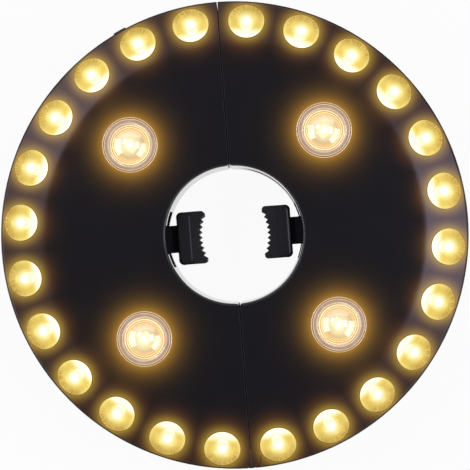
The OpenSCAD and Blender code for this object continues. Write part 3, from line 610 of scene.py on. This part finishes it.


# Plated bowl of a ring lamp. The lamp's light and its reflections in the bowl are painted in as emission.
def goldSurface(graph, place):
    finish = goldFinish
    shade = attribute(graph, "lampShade", "Fac")
    u, v, w = ownAxes(graph)
    rim = hypot(u, v)
    u = u + w * glare["lean"]
    reach = hypot(u - glare["middle"], v)
    around, apart, along = finish["spokes"]
    spokePlace = point(graph, X=angleOf(u, v) * around, Y=shade * apart, Z=reach * along)
    streak = rise(noise(graph, spokePlace, finish["spokeScale"], 3, 0.7), *finish["streaks"])
    inside = rise(hypot(u - finish["insideMiddle"], v * finish["insideSquash"]), *finish["insideTo"])
    outer = rise(u, *finish["amberSide"]) * rise(reach, *finish["amberTo"])
    lip = rise(rim, *finish["lipTo"])
    colour = blendColours(
        finish["warm"],
        (rise(rim, *finish["mouthTo"]), finish["mouth"]),
        (outer * (1 - streak * 0.5), finish["amber"]),
        (rise(u + v * v * finish["dawnCurve"], *finish["dawnTo"]), finish["dawn"]),
        (inside * rise(u, *finish["insideSide"]), finish["inside"]),
    )
    colour = blendColours(
        addGlare(colour, reach),
        (rise(u, *finish["whiteTo"]), finish["white"]),
        (lip, finish["lip"]),
        (lip * rise(u, *finish["outerLipTo"]), finish["outerLip"]),
    )
    lit = rise(w, *finish["floorTo"]) * rise(rim, *finish["wallTo"])
    return plastic(graph, {
        "Base Color": blendColours(finish["metal"], (streak * 0.3, finish["streak"])),
        "Metallic": 1,
        "Roughness": finish["roughness"] + streak * 0.08,
        # painted light and reflections of the lamp in the bowl
        "Emission Color": litBy(lit * finish["level"] * (0.95 + shade * 0.1), colour),
        "Emission Strength": 1,
    })


# Spot cup: plated metal, with the lamp's light in the bowl painted in as emission colours
spotGoldFinishAndPaintedLight = {
    "metal": (0.3, 0.2, 0.07),
    "pale": (0.85, 0.7, 0.3),
    "warm": (0.74, 0.48, 0.06),
    "rim": (0.4, 0.26, 0.1),
    "level": 0.66,
    "warmTo": (3.6, 6.2),
    "rimTo": (30.5, 32.8),
    "wallTo": (7.95, 7.8),
    "footTo": (0.1, 0.9),            # over the lamp board
    "spokes": (5, 0.1),              # round the cup, along the radius
}


def spotGoldSurface(graph, place):
    finish = spotGoldFinishAndPaintedLight
    u, v, w = ownAxes(graph)
    reach = hypot(u, v)
    around, along = finish["spokes"]
    spokes = noise(graph, point(graph, X=angleOf(u, v) * around, Z=reach * along), 2, 3, 0.7)
    colour = blendColours(
        finish["pale"],
        (rise(reach, *finish["warmTo"]), finish["warm"]),
        (rise(w, *finish["rimTo"]), finish["rim"]),
    )
    lit = rise(reach, *finish["wallTo"]) * rise(w - light["boardTop"], *finish["footTo"])
    return plastic(graph, {
        "Base Color": finish["metal"],
        "Metallic": 1,
        "Roughness": 0.2 + spokes * 0.12,
        # painted light of the lamp in the bowl
        "Emission Color": litBy(lit * (0.85 + spokes * 0.3) * finish["level"], colour),
        "Emission Strength": 1,
    })


lampFinish = {
    "body": (0.6, 0.56, 0.42),
    "side": (0.9, 0.74, 0.25),       # lit body, away from the tip
    "inside": (0.93, 0.93, 0.66),    # the same, on the side of the pole
    "core": (1.0, 0.97, 0.74),
    "edge": (1.0, 0.86, 0.44),
    "chip": (0.9, 0.88, 0.82),
    "dome": (0.95, 0.8, 0.3),
    "insideTo": (0.4, -1.6),
    "litTo": (-8.6, -4.2),
    "coreTo": (2.6, 0.6),
    "domeTo": (1.5, 1.8),            # over the lamp board
}


def ringLampSurface(graph, place):
    shade = attribute(graph, "lampShade", "Fac")
    u, v, w = ownAxes(graph)
    u = u + w * glare["lean"]
    haze = noise(graph, place, 900, 3)
    side = blendColours(lampFinish["side"], (rise(u, *lampFinish["insideTo"]), lampFinish["inside"]))
    lit = rise(w, *lampFinish["litTo"]) * (0.94 + shade * 0.06)
    return plastic(graph, {
        "Base Color": lampFinish["body"],
        "Roughness": 0.1 + haze * 0.08,
        "Emission Color": litBy(lit, addGlare(side, hypot(u - glare["middle"], v) + haze * 0.3)),
        "Emission Strength": 1,
    })


def spotLampSurface(graph, place):
    x, y, z = axes(graph, place)
    away = nearestLamp(x, y, light["spotR"], math.pi / 2)
    dots = graph.add("ShaderNodeTexVoronoi", {}, {"Vector": place, "Scale": 1500})
    dome = rise(z - light["boardTop"], *lampFinish["domeTo"])
    colour = blendColours(lampFinish["edge"], (rise(away, *lampFinish["coreTo"]), lampFinish["core"]))
    return plastic(graph, {
        "Base Color": blendColours(lampFinish["chip"], (dome, lampFinish["dome"])),
        "Roughness": 0.3 + dots * 0.1,
        "Emission Color": litBy(0.7 + dome * 0.3, colour),
        "Emission Strength": 1,
    })


lensFinish = {
    "tint": (0.97, 0.95, 0.94),
    "footTint": (0.72, 0.62, 0.5),
    "flange": (0.46, 0.34, 0.26),        # light carried in the clear flange
    "flangeDim": (0.38, 0.26, 0.2),
    "outer": (0.3, 0.18, 0.1),           # the same, near its outer edge
    "ring": (0.95, 0.7, 0.42),
    "gap": (0.14, 0.08, 0.05),
    "glow": (0.95, 0.93, 0.76),          # hot middle of the dome
    "glowR": 1.5,
    "veil": (0.62, 0.56, 0.35),           # glare that hides the lamp under the dome
    "veilTo": (6.6, 1.6),
    "veilTint": (0.3, 0.29, 0.25),
    "coatIor": 2.0,
    "flangeTo": (7.5, 7.9),
    "flangeZ": (33.3, 33.6),
    "outerTo": (10.7, 11.4),
    "domeZ": (34.8, 35.6),
    # radius, half width and strength
    "rings": ((11.62, 0.24, 1), (10.85, 0.24, 1), (9.2, 0.4, 0.8), (8.0, 0.3, 0.6)),
    "gaps": ((11.22, 0.24, 1), (10.3, 0.3, 0.3), (8.5, 0.3, 0.5)),
    "foot": ((7.5, 0.9, 0.6),),
}


def strongestRing(reach, rings):
    marks = [line(reach, radius, half) * strength for radius, half, strength in rings]
    strongest = marks[0]
    for mark in marks[1:]:
        strongest = greater(strongest, mark)
    return strongest


# Clear lens. The light that runs in its flange shows as pale rings.
def lensSurface(graph, place):
    finish = lensFinish
    u, v, w = ownAxes(graph)
    reach = hypot(u, v)
    cloud = noise(graph, place, 260, 3)
    flange = rise(reach, *finish["flangeTo"]) * rise(w, *finish["flangeZ"])
    middle = reach / finish["glowR"]
    onDome = rise(w, *finish["domeZ"])
    glow = exponent(-(middle * middle)) * onDome
    veil = rise(reach, *finish["veilTo"]) * onDome
    colour = blendColours(
        (0, 0, 0),
        (veil, finish["veil"]),
        (glow, finish["glow"]),
        (flange, finish["flange"]),
        (flange * rise(cloud, 0.35, 0.65) * 0.7, finish["flangeDim"]),
        (flange * rise(reach, *finish["outerTo"]), finish["outer"]),
        (flange * strongestRing(reach, finish["gaps"]), finish["gap"]),
        (flange * strongestRing(reach, finish["rings"]) * 0.85, finish["ring"]),
    )
    foot = strongestRing(reach, finish["foot"])
    return plastic(graph, {
        "Base Color": blendColours(finish["tint"], (veil, finish["veilTint"]), (foot, finish["footTint"])),
        "Roughness": 0.02 + rise(noise(graph, place, 2000, 2), 0.6, 0.8) * 0.02,
        "IOR": 1.49,
        "Transmission Weight": 1,
        "Coat Weight": 1,
        "Coat IOR": finish["coatIor"],
        "Coat Roughness": 0.02,
        "Emission Color": colour,
        "Emission Strength": 1,
    })


steelFinish = {"bright": (0.62, 0.62, 0.64), "dull": (0.44, 0.43, 0.42), "roughness": 0.3}


def steelSurface(graph, place):
    cloud = noise(graph, place, 500, 4, 0.6)
    turned = noise(graph, place, 4200, 2)
    return plastic(graph, {
        "Base Color": blendColours(steelFinish["bright"], (rise(cloud, 0.4, 0.7), steelFinish["dull"])),
        "Metallic": 1,
        "Roughness": steelFinish["roughness"] + cloud * 0.12,
        "Normal": bump(graph, turned, 0.006),
    })


magnetFinish = {"bright": (0.75, 0.74, 0.72), "dull": (0.6, 0.59, 0.56)}


def magnetSurface(graph, place):
    cloud = noise(graph, place, 900, 3)
    return plastic(graph, {
        "Base Color": blendColours(magnetFinish["bright"], (rise(cloud, 0.5, 0.7), magnetFinish["dull"])),
        "Metallic": 1,
        "Roughness": 0.16 + cloud * 0.1,
    })


cellFinish = {
    "jacket": (0.016, 0.016, 0.018),
    "band": (0.52, 0.27, 0.09),
    "can": (0.6, 0.6, 0.6),
    "middleX": 73,               # between the two cells of a half
    "bandTo": (12, 12.3),        # along the cell, towards its nub
    "nubEnd": (26.3, 26.5),
    "flatEnd": (-22.2, -22.4),
}


# Plain AA cells: a dark jacket, a copper band towards the nub and a bare metal end
def cellSurface(graph, place):
    x, y, z = axes(graph, place)
    outer = rise(absolute(x) - cellFinish["middleX"], -0.2, 0.2)
    along = y * (1 - outer * 2)
    band = rise(along, *cellFinish["bandTo"])
    metal = greater(rise(along, *cellFinish["nubEnd"]), rise(along, *cellFinish["flatEnd"]))
    colour = blendColours(cellFinish["jacket"], (band, cellFinish["band"]), (metal, cellFinish["can"]))
    scratch = noise(graph, place, 1400, 3)
    return plastic(graph, {
        "Base Color": colour,
        "Metallic": metal * 0.9 + band * (1 - metal) * 0.6,
        "Roughness": 0.24 + scratch * 0.12,
    })


boardFinish = {
    "mask": (0.72, 0.73, 0.7),
    "track": (0.6, 0.63, 0.58),
    "pad": (0.66, 0.64, 0.58),
    "trackPitch": 6,
    "trackHalf": 0.35,
    "spokes": 14,                # tracks along the radius, for each radian
    "padIn": 2.5,                # from the circle of the ring lamps
    "padTo": (2.4, 2.2),
}


def boardSurface(graph, place):
    x, y, z = axes(graph, place)
    reach = hypot(x, y)
    finish = boardFinish
    pitch = finish["trackPitch"]
    hoops = line(reach % pitch, pitch / 2, finish["trackHalf"])
    tracks = greater(hoops, line(angleOf(x, y) * finish["spokes"] % 1, 0.5, 0.06))
    pads = rise(nearestLamp(x, y, light["ringR"] - finish["padIn"], lampStep), *finish["padTo"])
    cloud = noise(graph, place, 200, 3)
    return plastic(graph, {
        "Base Color": blendColours(finish["mask"], (tracks * 0.25, finish["track"]), (pads, finish["pad"])),
        "Metallic": pads * 0.8,
        "Roughness": 0.38 + cloud * 0.1,
        "Normal": bump(graph, tracks, 0.03),
    })


def plainPlastic(colour, roughness):
    def surface(graph, place):
        cloud = noise(graph, place, 800, 3)
        paler = tuple(part * 1.8 for part in colour)
        return plastic(graph, {
            "Base Color": blendColours(colour, (rise(cloud, 0.5, 0.8) * 0.4, paler)),
            "Roughness": roughness + cloud * 0.1,
            "Normal": bump(graph, noise(graph, place, 5000, 1), 0.01),
        })
    return surface


finishes = {
    "shell_plastic": makeMaterial("shellPlastic", shellSurface),
    "cover_plastic": makeMaterial("coverPlastic", mouldedBlack(coverFinish)),
    "jaw_plastic": makeMaterial("jawPlastic", mouldedBlack(jawFinish)),
    "button_plastic": makeMaterial("buttonPlastic", mouldedBlack(buttonFinish)),
    "pad_rubber": makeMaterial("padRubber", rubberSurface),
    "gold_reflector": makeMaterial("goldReflector", goldSurface),
    "warm_lamp": makeMaterial("warmLamp", spotLampSurface),
    "clear_lens": makeMaterial("clearLens", lensSurface),
    "steel": makeMaterial("zincSteel", steelSurface),
    "magnet": makeMaterial("nickelMagnet", magnetSurface),
    "cell_jacket": makeMaterial("cellJacket", cellSurface),
    "board": makeMaterial("boardMask", boardSurface),
    "wire": makeMaterial("wireSkin", plainPlastic((0.4, 0.02, 0.02), 0.4)),
    "switch": makeMaterial("switchBody", plainPlastic((0.03, 0.03, 0.032), 0.45)),
    "chip": makeMaterial("chipBody", plainPlastic((0.02, 0.02, 0.022), 0.5)),
}
spotGold = makeMaterial("spotGold", spotGoldSurface)
lampEpoxy = makeMaterial("lampEpoxy", ringLampSurface)

slots = {part["node"]: part["material_slot"] for part in frame["record"]["subparts"]}
for node, slot in slots.items():
    mesh = nodes[node].data
    mesh.materials.clear()
    mesh.materials.append(finishes[slot])
print("finishes made:", len(bpy.data.materials))


def putInScene(name, mesh, material=None):
    piece = bpy.data.objects.new(name, mesh)
    scene.collection.objects.link(piece)
    if material:
        mesh.materials.clear()
        mesh.materials.append(material)
    return piece


# Turns the piece's modifiers into its mesh
def settle(piece):
    graph = bpy.context.evaluated_depsgraph_get()
    made = piece.evaluated_get(graph)
    mesh = bpy.data.meshes.new_from_object(made, preserve_all_data_layers=True, depsgraph=graph)
    piece.modifiers.clear()
    piece.data = mesh
    return piece


def smoothen(mesh, sharpAngle=38):
    mesh.shade_smooth()
    mesh.set_sharp_from_angle(angle=math.radians(sharpAngle))


def handOver(piece, body, slot, *replaced):
    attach(piece, body)
    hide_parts(*replaced)


# Points of an arc in a profile, angles in degrees from +radius towards +height
def arc(centre, radius, start, end, steps):
    angles = [math.radians(start + (end - start) * i / steps) for i in range(steps + 1)]
    return [(centre[0] + radius * math.cos(a), centre[1] + radius * math.sin(a)) for a in angles]


# Turns a closed profile of (radius, height) round Z. wave moves a point along its radius.
def lathe(name, profile, segments, wave=None):
    mesh = bpy.data.meshes.new(name)
    bm = bmesh.new()
    rings = []
    for radius, height in profile:
        ring = []
        for i in range(1 if radius == 0 else segments):
            angle = 2 * math.pi * i / segments
            reach = radius + (wave(angle, radius, height) if wave else 0)
            place = (reach * math.cos(angle) * mm, reach * math.sin(angle) * mm, height * mm)
            ring.append(bm.verts.new(place))
        rings.append(ring)
    for first, second in zip(rings, rings[1:] + rings[:1]):
        if len(first) == 1 and len(second) == 1:
            continue
        for i in range(segments):
            j = (i + 1) % segments
            around = ((first, i), (first, j), (second, j), (second, i))
            corners = [row[k % len(row)] for row, k in around]
            bm.faces.new(dict.fromkeys(corners))
    bmesh.ops.recalc_face_normals(bm, faces=bm.faces)
    bm.to_mesh(mesh)
    bm.free()
    return mesh


def newTree(name, sockets):
    tree = bpy.data.node_groups.new(name, "GeometryNodeTree")
    tree.is_modifier = True
    keys = {}
    for title, kind in sockets.items():
        socket = tree.interface.new_socket(name=title, in_out="INPUT", socket_type="NodeSocket" + kind)
        keys[title] = socket.identifier
    tree.interface.new_socket(name="Geometry", in_out="OUTPUT", socket_type="NodeSocketGeometry")
    graph = Graph(tree)
    return graph, graph.add("NodeGroupInput"), keys


def chance(graph, given, most):
    values = {"Min": 0.0, "Max": most, "Seed": given.out("Seed")}
    return graph.add("FunctionNodeRandomValue", {"data_type": "FLOAT"}, values, "Value")


def rotation(graph, **angles):
    return graph.add("FunctionNodeEulerToRotation", {}, {"Euler": point(graph, **angles)})


def endTree(graph, given, copies):
    solid = graph.add("GeometryNodeRealizeInstances", {}, {"Geometry": copies})
    values = {"Geometry": solid, "Material": given.out("Material")}
    solid = graph.add("GeometryNodeSetMaterial", {}, values)
    graph.add("NodeGroupOutput", {}, {"Geometry": solid})
    return graph.tree


# Copies of one lamp piece, evenly round a circle and tilted outwards
def lampRingTree():
    graph, given, keys = newTree("lampRing", {
        "Piece": "Geometry", "Count": "Int", "First angle": "Float", "Step": "Float",
        "Circle radius": "Float", "Height": "Float", "Tilt": "Float", "Seed": "Int", "Material": "Material",
    })
    marked = graph.add("GeometryNodeStoreNamedAttribute", {"data_type": "FLOAT_VECTOR", "domain": "POINT"}, {
        "Geometry": given, "Name": "ownPlace", "Value": graph.add("GeometryNodeInputPosition"),
    })
    turn = given.out("First angle") + graph.add("GeometryNodeInputIndex") * given.out("Step")
    radius = given.out("Circle radius")
    spot = point(graph, X=cosine(turn) * radius, Y=sine(turn) * radius, Z=given.out("Height"))
    points = graph.add("GeometryNodePoints", {}, {"Count": given.out("Count"), "Position": spot})
    copies = graph.add("GeometryNodeInstanceOnPoints", {}, {
        "Points": points, "Instance": marked, "Rotation": rotation(graph, Y=given.out("Tilt"), Z=turn),
    })
    copies = graph.add("GeometryNodeStoreNamedAttribute", {"data_type": "FLOAT", "domain": "INSTANCE"}, {
        "Geometry": copies, "Name": "lampShade", "Value": chance(graph, given, 1.0),
    })
    return endTree(graph, given, copies), keys


# Copies of one screw on the points of the piece, each turned by chance
def screwSetTree():
    graph, given, keys = newTree("screwSet", {
        "Places": "Geometry", "Screw": "Object", "Seed": "Int", "Material": "Material",
    })
    screw = graph.add("GeometryNodeObjectInfo", {}, {"Object": given.out("Screw")}, "Geometry")
    copies = graph.add("GeometryNodeInstanceOnPoints", {}, {
        "Points": given, "Instance": screw, "Rotation": rotation(graph, Z=chance(graph, given, math.pi)),
    })
    return endTree(graph, given, copies), keys


def grow(piece, tree, keys, values):
    modifier = piece.modifiers.new("copies", "NODES")
    modifier.node_group = tree
    for title, value in values.items():
        modifier[keys[title]] = value
    settle(piece)
    smoothen(piece.data)
    return piece


ringTree, ringKeys = lampRingTree()
screwTree, screwKeys = screwSetTree()


def lampRing(name, mesh, material, side, lamps, height, tilt, seed):
    count, radius = lamps
    step = 2 * math.pi / count
    first = -math.pi / 2 if sides[side] > 0 else math.pi / 2
    return grow(putInScene(name, mesh.copy()), ringTree, ringKeys, {
        "Count": count // 2, "First angle": first + step / 2, "Step": step,
        "Circle radius": radius * mm, "Height": height * mm, "Tilt": tilt, "Seed": seed,
        "Material": material,
    })


# Ring cups: plated bowls with fine flutes and a rounded lip
cup = {
    "mouthR": 7.5, "lipR": 7.9, "depth": 5, "bowlR": 8.125, "holeR": 2.6,
    "footR": 3.8, "bottom": -5.8, "wall": -2.5, "edge": 0.16, "innerLip": ((0.02, -0.1), (0.09, -0.02)),
    "flutes": 36, "fluteDepth": 0.035, "fluted": (3.2, 7), "segments": 144,
}


def cupMesh():
    centre = cup["bowlR"] - cup["depth"]
    floorAngle = -math.degrees(math.acos(cup["holeR"] / cup["bowlR"]))
    rimAngle = -math.degrees(math.acos(cup["mouthR"] / cup["bowlR"]))
    profile = arc((0, centre), cup["bowlR"], floorAngle, rimAngle - 1, 12)
    profile += [(cup["mouthR"] + out, height) for out, height in cup["innerLip"]]
    profile += arc((cup["lipR"] - cup["edge"], -cup["edge"]), cup["edge"], 90, 0, 3)
    profile += [(cup["lipR"], cup["wall"]), (cup["footR"], cup["bottom"])]
    profile.append((cup["holeR"], cup["bottom"]))

    def flute(angle, radius, height):
        inBowl = height > -cup["depth"] and cup["fluted"][0] < radius < cup["fluted"][1]
        return cup["fluteDepth"] * math.cos(cup["flutes"] * angle) if inBowl else 0

    return lathe("ringCup", profile, cup["segments"], flute)


# 5 mm lamps: round tip, straight body, flange and two leads
lamp = {
    "tip": -0.8, "r": 2.5, "length": 8.7, "flangeR": 2.9, "flangeT": 1, "edge": 0.12, "segments": 40,
    "leadR": 0.25, "leadPitch": 2.54, "leadEnd": -10.2, "leadIn": 0.4,
}


def lampMesh():
    base = lamp["tip"] - lamp["length"]
    profile = arc((0, lamp["tip"] - lamp["r"]), lamp["r"], 90, 0, 10)
    profile[0] = (0, lamp["tip"])
    flangeTop = base + lamp["flangeT"]
    profile += [(lamp["r"], flangeTop + 0.1), (lamp["r"] + 0.1, flangeTop)]
    profile += arc((lamp["flangeR"] - lamp["edge"], flangeTop - lamp["edge"]), lamp["edge"], 90, 0, 2)
    profile += [(lamp["flangeR"], base), (0, base)]
    body = lathe("ringLamp", profile, lamp["segments"])
    bm = bmesh.new()
    bm.from_mesh(body)
    leadTop, radius = base + lamp["leadIn"], lamp["leadR"] * mm
    for end in (-1, 1):
        made = bmesh.ops.create_cone(
            bm, cap_ends=True, segments=10, radius1=radius, radius2=radius,
            depth=(leadTop - lamp["leadEnd"]) * mm,
        )
        middle = (0, end * lamp["leadPitch"] / 2 * mm, (leadTop + lamp["leadEnd"]) / 2 * mm)
        bmesh.ops.translate(bm, verts=made["verts"], vec=middle)
    bm.to_mesh(body)
    bm.free()
    return body


# Spot reflector: round bowl, straight mouth and a foot on the board
spotCup = {
    "holeR": 3.353, "footR": 4.5, "footTop": 23.4, "bowlR": 7.8, "bowlZ": 31, "top": 33, "outerR": 8.1,
    "edge": 0.08,
}


def spotCupMesh():
    size = spotCup
    low = math.degrees(math.acos(size["holeR"] / size["bowlR"]))
    profile = arc((0, size["bowlZ"]), size["bowlR"], -low, 0, 16)
    profile += [(size["bowlR"], size["top"] - size["edge"]), (size["bowlR"] + size["edge"], size["top"])]
    profile += [(size["outerR"] - size["edge"], size["top"]), (size["outerR"], size["top"] - size["edge"])]
    profile += [(size["outerR"], size["footTop"]), (size["footR"], size["footTop"])]
    profile += [(size["footR"], light["boardTop"]), (size["holeR"], light["boardTop"])]
    return lathe("spotCup", profile, 96)


# Spot lens: hollow dome, grooved flange and a locating skirt
lensSize = {
    "domeR": 9.6125, "domeZ": 28.6875, "wall": 1.6, "mouthR": 7.5, "top": 34.7, "seat": 33.2,
    "skirtIn": 8.3, "skirtOut": 9.0, "skirtEnd": 29.8, "skirtEdge": 0.1, "flangeR": 11.75, "edge": 0.08,
    "bevel": 0.5, "grooves": ((10.55, 0.22, 0.16), (8.9, 0.75, 0.5)),   # radius, half width and depth
}


def lensMesh():
    size = lensSize
    inner = size["domeR"] - size["wall"]
    innerEnd = math.degrees(math.asin((size["seat"] - size["domeZ"]) / inner))
    outerEnd = math.degrees(math.asin((size["top"] - size["domeZ"]) / size["domeR"]))
    profile = arc((0, size["domeZ"]), inner, 90, innerEnd, 16)
    profile[0] = (0, size["domeZ"] + inner)
    skirtEnd, soft = size["skirtEnd"], size["skirtEdge"]
    profile += [(size["skirtIn"], size["seat"]), (size["skirtIn"], skirtEnd + soft)]
    profile += [(size["skirtIn"] + soft, skirtEnd), (size["skirtOut"] - soft, skirtEnd)]
    profile += [(size["skirtOut"], skirtEnd + soft), (size["skirtOut"], size["seat"])]
    flangeR, bevel, top = size["flangeR"], size["bevel"], size["top"]
    profile += [(flangeR - size["edge"], size["seat"]), (flangeR, size["seat"] + size["edge"])]
    profile += arc((flangeR - bevel, top - bevel), bevel, 0, 90, 4)
    for middle, half, deep in size["grooves"]:
        profile += [(middle + half, top), (middle + half * 0.5, top - deep)]
        profile += [(middle - half * 0.5, top - deep), (middle - half, top)]
    profile += arc((0, size["domeZ"]), size["domeR"], outerEnd, 90, 20)
    profile[-1] = (0, size["domeZ"] + size["domeR"])
    return lathe("spotLens", profile, 96)


cupShape, lampShape, spotCupShape, lensShape = cupMesh(), lampMesh(), spotCupMesh(), lensMesh()
bandHeight = light["faceZ"] - (light["ringR"] - light["flatR"]) * math.tan(light["slope"])
ring = (light["ringCount"], light["ringR"])
spots = (4, light["spotR"])
lampPieces = [
    ("ringCups", "ring_cups_", cupShape, finishes["gold_reflector"], ring, bandHeight, light["slope"]),
    ("ringLamps", "ring_lamps_", lampShape, lampEpoxy, ring, bandHeight, light["slope"]),
    ("spotCups", "spot_cups_", spotCupShape, spotGold, spots, 0, 0),
    ("spotLenses", "spot_lenses_", lensShape, finishes["clear_lens"], spots, 0, 0),
]
for seed, side in enumerate(sides):
    for name, node, shape, finish, circle, height, tilt in lampPieces:
        piece = lampRing(name + side.capitalize(), shape, finish, side, circle, height, tilt, seed)
        handOver(piece, side + "_half", slots[node + side], node + side)
print("lamps, cups and lenses placed")


# Screws with a domed head and a tapered cross recess
screw = {
    "cover": {"headR": 2.75, "head": 1.5, "sink": 0.1, "shankR": 1.2, "length": 12, "dome": 0.35},
    "board": {"headR": 2.3, "head": 1.5, "sink": 0, "shankR": 1.1, "length": 8.6, "dome": 0.3},
    "domed": ((0.5, 0.12), (0.82, 0.45)),    # shares of the head's radius and of its dome
    "headEdge": (0.08, 0.12),
    "crossW": 0.85, "crossL": 1.7, "crossDeep": 1.0, "crossTaper": (0.55, 0.8),
    "threadStart": 0.4, "threadPitch": 0.9, "threadRoot": 0.78, "pointL": 1.4, "pointR": 0.75,
}


def screwMesh(kind):
    size = screw[kind]
    low, seat = size["sink"], size["sink"] + size["head"]
    headR, shankR, edge = size["headR"], size["shankR"], screw["headEdge"]
    profile = [(0, low)] + [(headR * out, low + size["dome"] * share) for out, share in screw["domed"]]
    profile += [(headR - edge[0], low + size["dome"]), (headR, low + size["dome"] + edge[1])]
    profile += [(headR, seat), (shankR, seat)]
    height = seat + screw["threadStart"]
    while height < size["length"] - screw["pointL"]:
        profile += [(shankR * screw["threadRoot"], height), (shankR, height + screw["threadPitch"] / 2)]
        height += screw["threadPitch"]
    profile += [(shankR * screw["pointR"], height), (0, size["length"])]
    body = putInScene("screwBody", lathe("screwBody", profile, 40))
    cutter = bmesh.new()
    for turn in (0, math.pi / 2):
        made = bmesh.ops.create_cube(cutter, size=1)["verts"]
        for vert in made:
            deep = vert.co.z > 0
            vert.co.x *= 2 * screw["crossL"] * (screw["crossTaper"][0] if deep else 1)
            vert.co.y *= screw["crossW"] * (screw["crossTaper"][1] if deep else 1)
            vert.co.z = low + (screw["crossDeep"] if deep else -1)
        bmesh.ops.rotate(cutter, verts=made, cent=(0, 0, 0), matrix=Matrix.Rotation(turn, 3, "Z"))
    bmesh.ops.scale(cutter, vec=(mm, mm, mm), verts=cutter.verts)
    cutMesh = bpy.data.meshes.new("crossCut")
    cutter.to_mesh(cutMesh)
    cutter.free()
    cross = putInScene("crossCut", cutMesh)
    slotting = body.modifiers.new("cross", "BOOLEAN")
    slotting.operation = "DIFFERENCE"
    slotting.solver = "EXACT"
    slotting.use_self = True
    slotting.object = cross
    settle(body)
    bpy.data.objects.remove(cross)
    return body


outerPost = (79.9, math.radians(45.5))
screwPlaces = {
    "cover": [(9, 38), (8, 76), tuple(outerPost[0] * turn(outerPost[1]) for turn in (math.cos, math.sin))],
    "board": [(20, 62), (67, 36)],
}
screwSeats = {"cover": 0, "board": 18.1}
for kind, base in screwSeats.items():
    template = screwMesh(kind)
    for seed, (side, sign) in enumerate(sides.items()):
        points = [(sign * x * mm, end * y * mm, base * mm) for x, y in screwPlaces[kind] for end in (-1, 1)]
        places = bpy.data.meshes.new(kind + "Places")
        places.from_pydata(points, [], [])
        piece = grow(putInScene(kind + "Screws" + side.capitalize(), places), screwTree, screwKeys, {
            "Screw": template, "Seed": seed + 3, "Material": finishes["steel"],
        })
        handOver(piece, side + "_half", "steel", kind + "_screws_" + side)
    bpy.data.objects.remove(template)
print("screws placed")


# The jaw's head has a fuller rounding at both of its ends along the pole, behind the pad
jawHead = {"middleZ": 17, "halfHeight": 9, "padBack": 18.5, "back": 24.5, "rounding": 1.2, "steps": 5}


def roundJawHead(bm):
    def onEnd(vert):
        level = abs(abs(vert.co.z / mm - jawHead["middleZ"]) - jawHead["halfHeight"]) < 0.02
        return level and abs(vert.co.x) / mm < jawHead["back"] + 0.02

    edges = [edge for edge in bm.edges if all(onEnd(vert) for vert in edge.verts)]
    fromPad = (jawHead["padBack"] + 0.1) * mm
    edges = [edge for edge in edges if max(abs(vert.co.x) for vert in edge.verts) > fromPad]
    bmesh.ops.bevel(
        bm, geom=edges, offset=jawHead["rounding"] * mm, segments=jawHead["steps"],
        profile=0.5, affect="EDGES",
    )


def pieceName(node):
    first, *rest = node.split("_")
    return first + "".join(word.capitalize() for word in rest)


def mergedCopy(node):
    bm = bmesh.new()
    bm.from_mesh(nodes[node].data)
    bmesh.ops.remove_doubles(bm, verts=bm.verts, dist=0.002 * mm)
    return bm


def intoMesh(bm, name):
    mesh = bpy.data.meshes.new(name)
    bm.to_mesh(mesh)
    bm.free()
    if "custom_normal" in mesh.attributes:
        mesh.attributes.remove(mesh.attributes["custom_normal"])
    return mesh


# A copy of a plain moulding with its sharp edges rounded
def roundedCopy(node, width, steps=3, angle=32):
    name = pieceName(node)
    bm = mergedCopy(node)
    bmesh.ops.dissolve_limit(bm, angle_limit=math.radians(0.6), verts=bm.verts, edges=bm.edges)
    if node in ("jaw_left", "jaw_right"):
        roundJawHead(bm)
    mesh = intoMesh(bm, name)
    piece = putInScene(name, mesh, nodes[node].data.materials[0])
    bevel = piece.modifiers.new("edges", "BEVEL")
    bevel.limit_method = "ANGLE"
    bevel.angle_limit = math.radians(angle)
    bevel.width = width * mm
    bevel.segments = steps
    bevel.use_clamp_overlap = True
    mesh.shade_smooth()
    piece.modifiers.new("normals", "WEIGHTED_NORMAL").keep_sharp = True
    return settle(piece)


# body and edge width of each moulding
roundedEdges = {
    "jaw": ("jaw_", 0.35),
    "grip_pad": ("jaw_", 0.12),
    "battery_door": ("battery_door_", 0.3),
    "hanging_hook": ("hanging_hook_", 0.3),
}
for kind, (body, width) in roundedEdges.items():
    for side in sides:
        node = kind + "_" + side
        handOver(roundedCopy(node, width), body + side, slots[node], node)
handOver(roundedCopy("power_button", 0.3), "power_button", slots["power_button"], "power_button")
print("mouldings rounded")

# Each jaw's spring is a smooth copy of its moulded mesh, carried by its half
for side, sign in sides.items():
    node = "jaw_spring_" + side
    name = pieceName(node)
    mesh = intoMesh(mergedCopy(node), name)
    smoothen(mesh, 60)
    inner = min(abs(corner[0]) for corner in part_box(node)) / mm
    piece = putInScene(name, mesh, nodes[node].data.materials[0])
    handOver(piece, side + "_half", slots[node], node)
    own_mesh(piece)
print("jaw springs placed")

print("scene built")
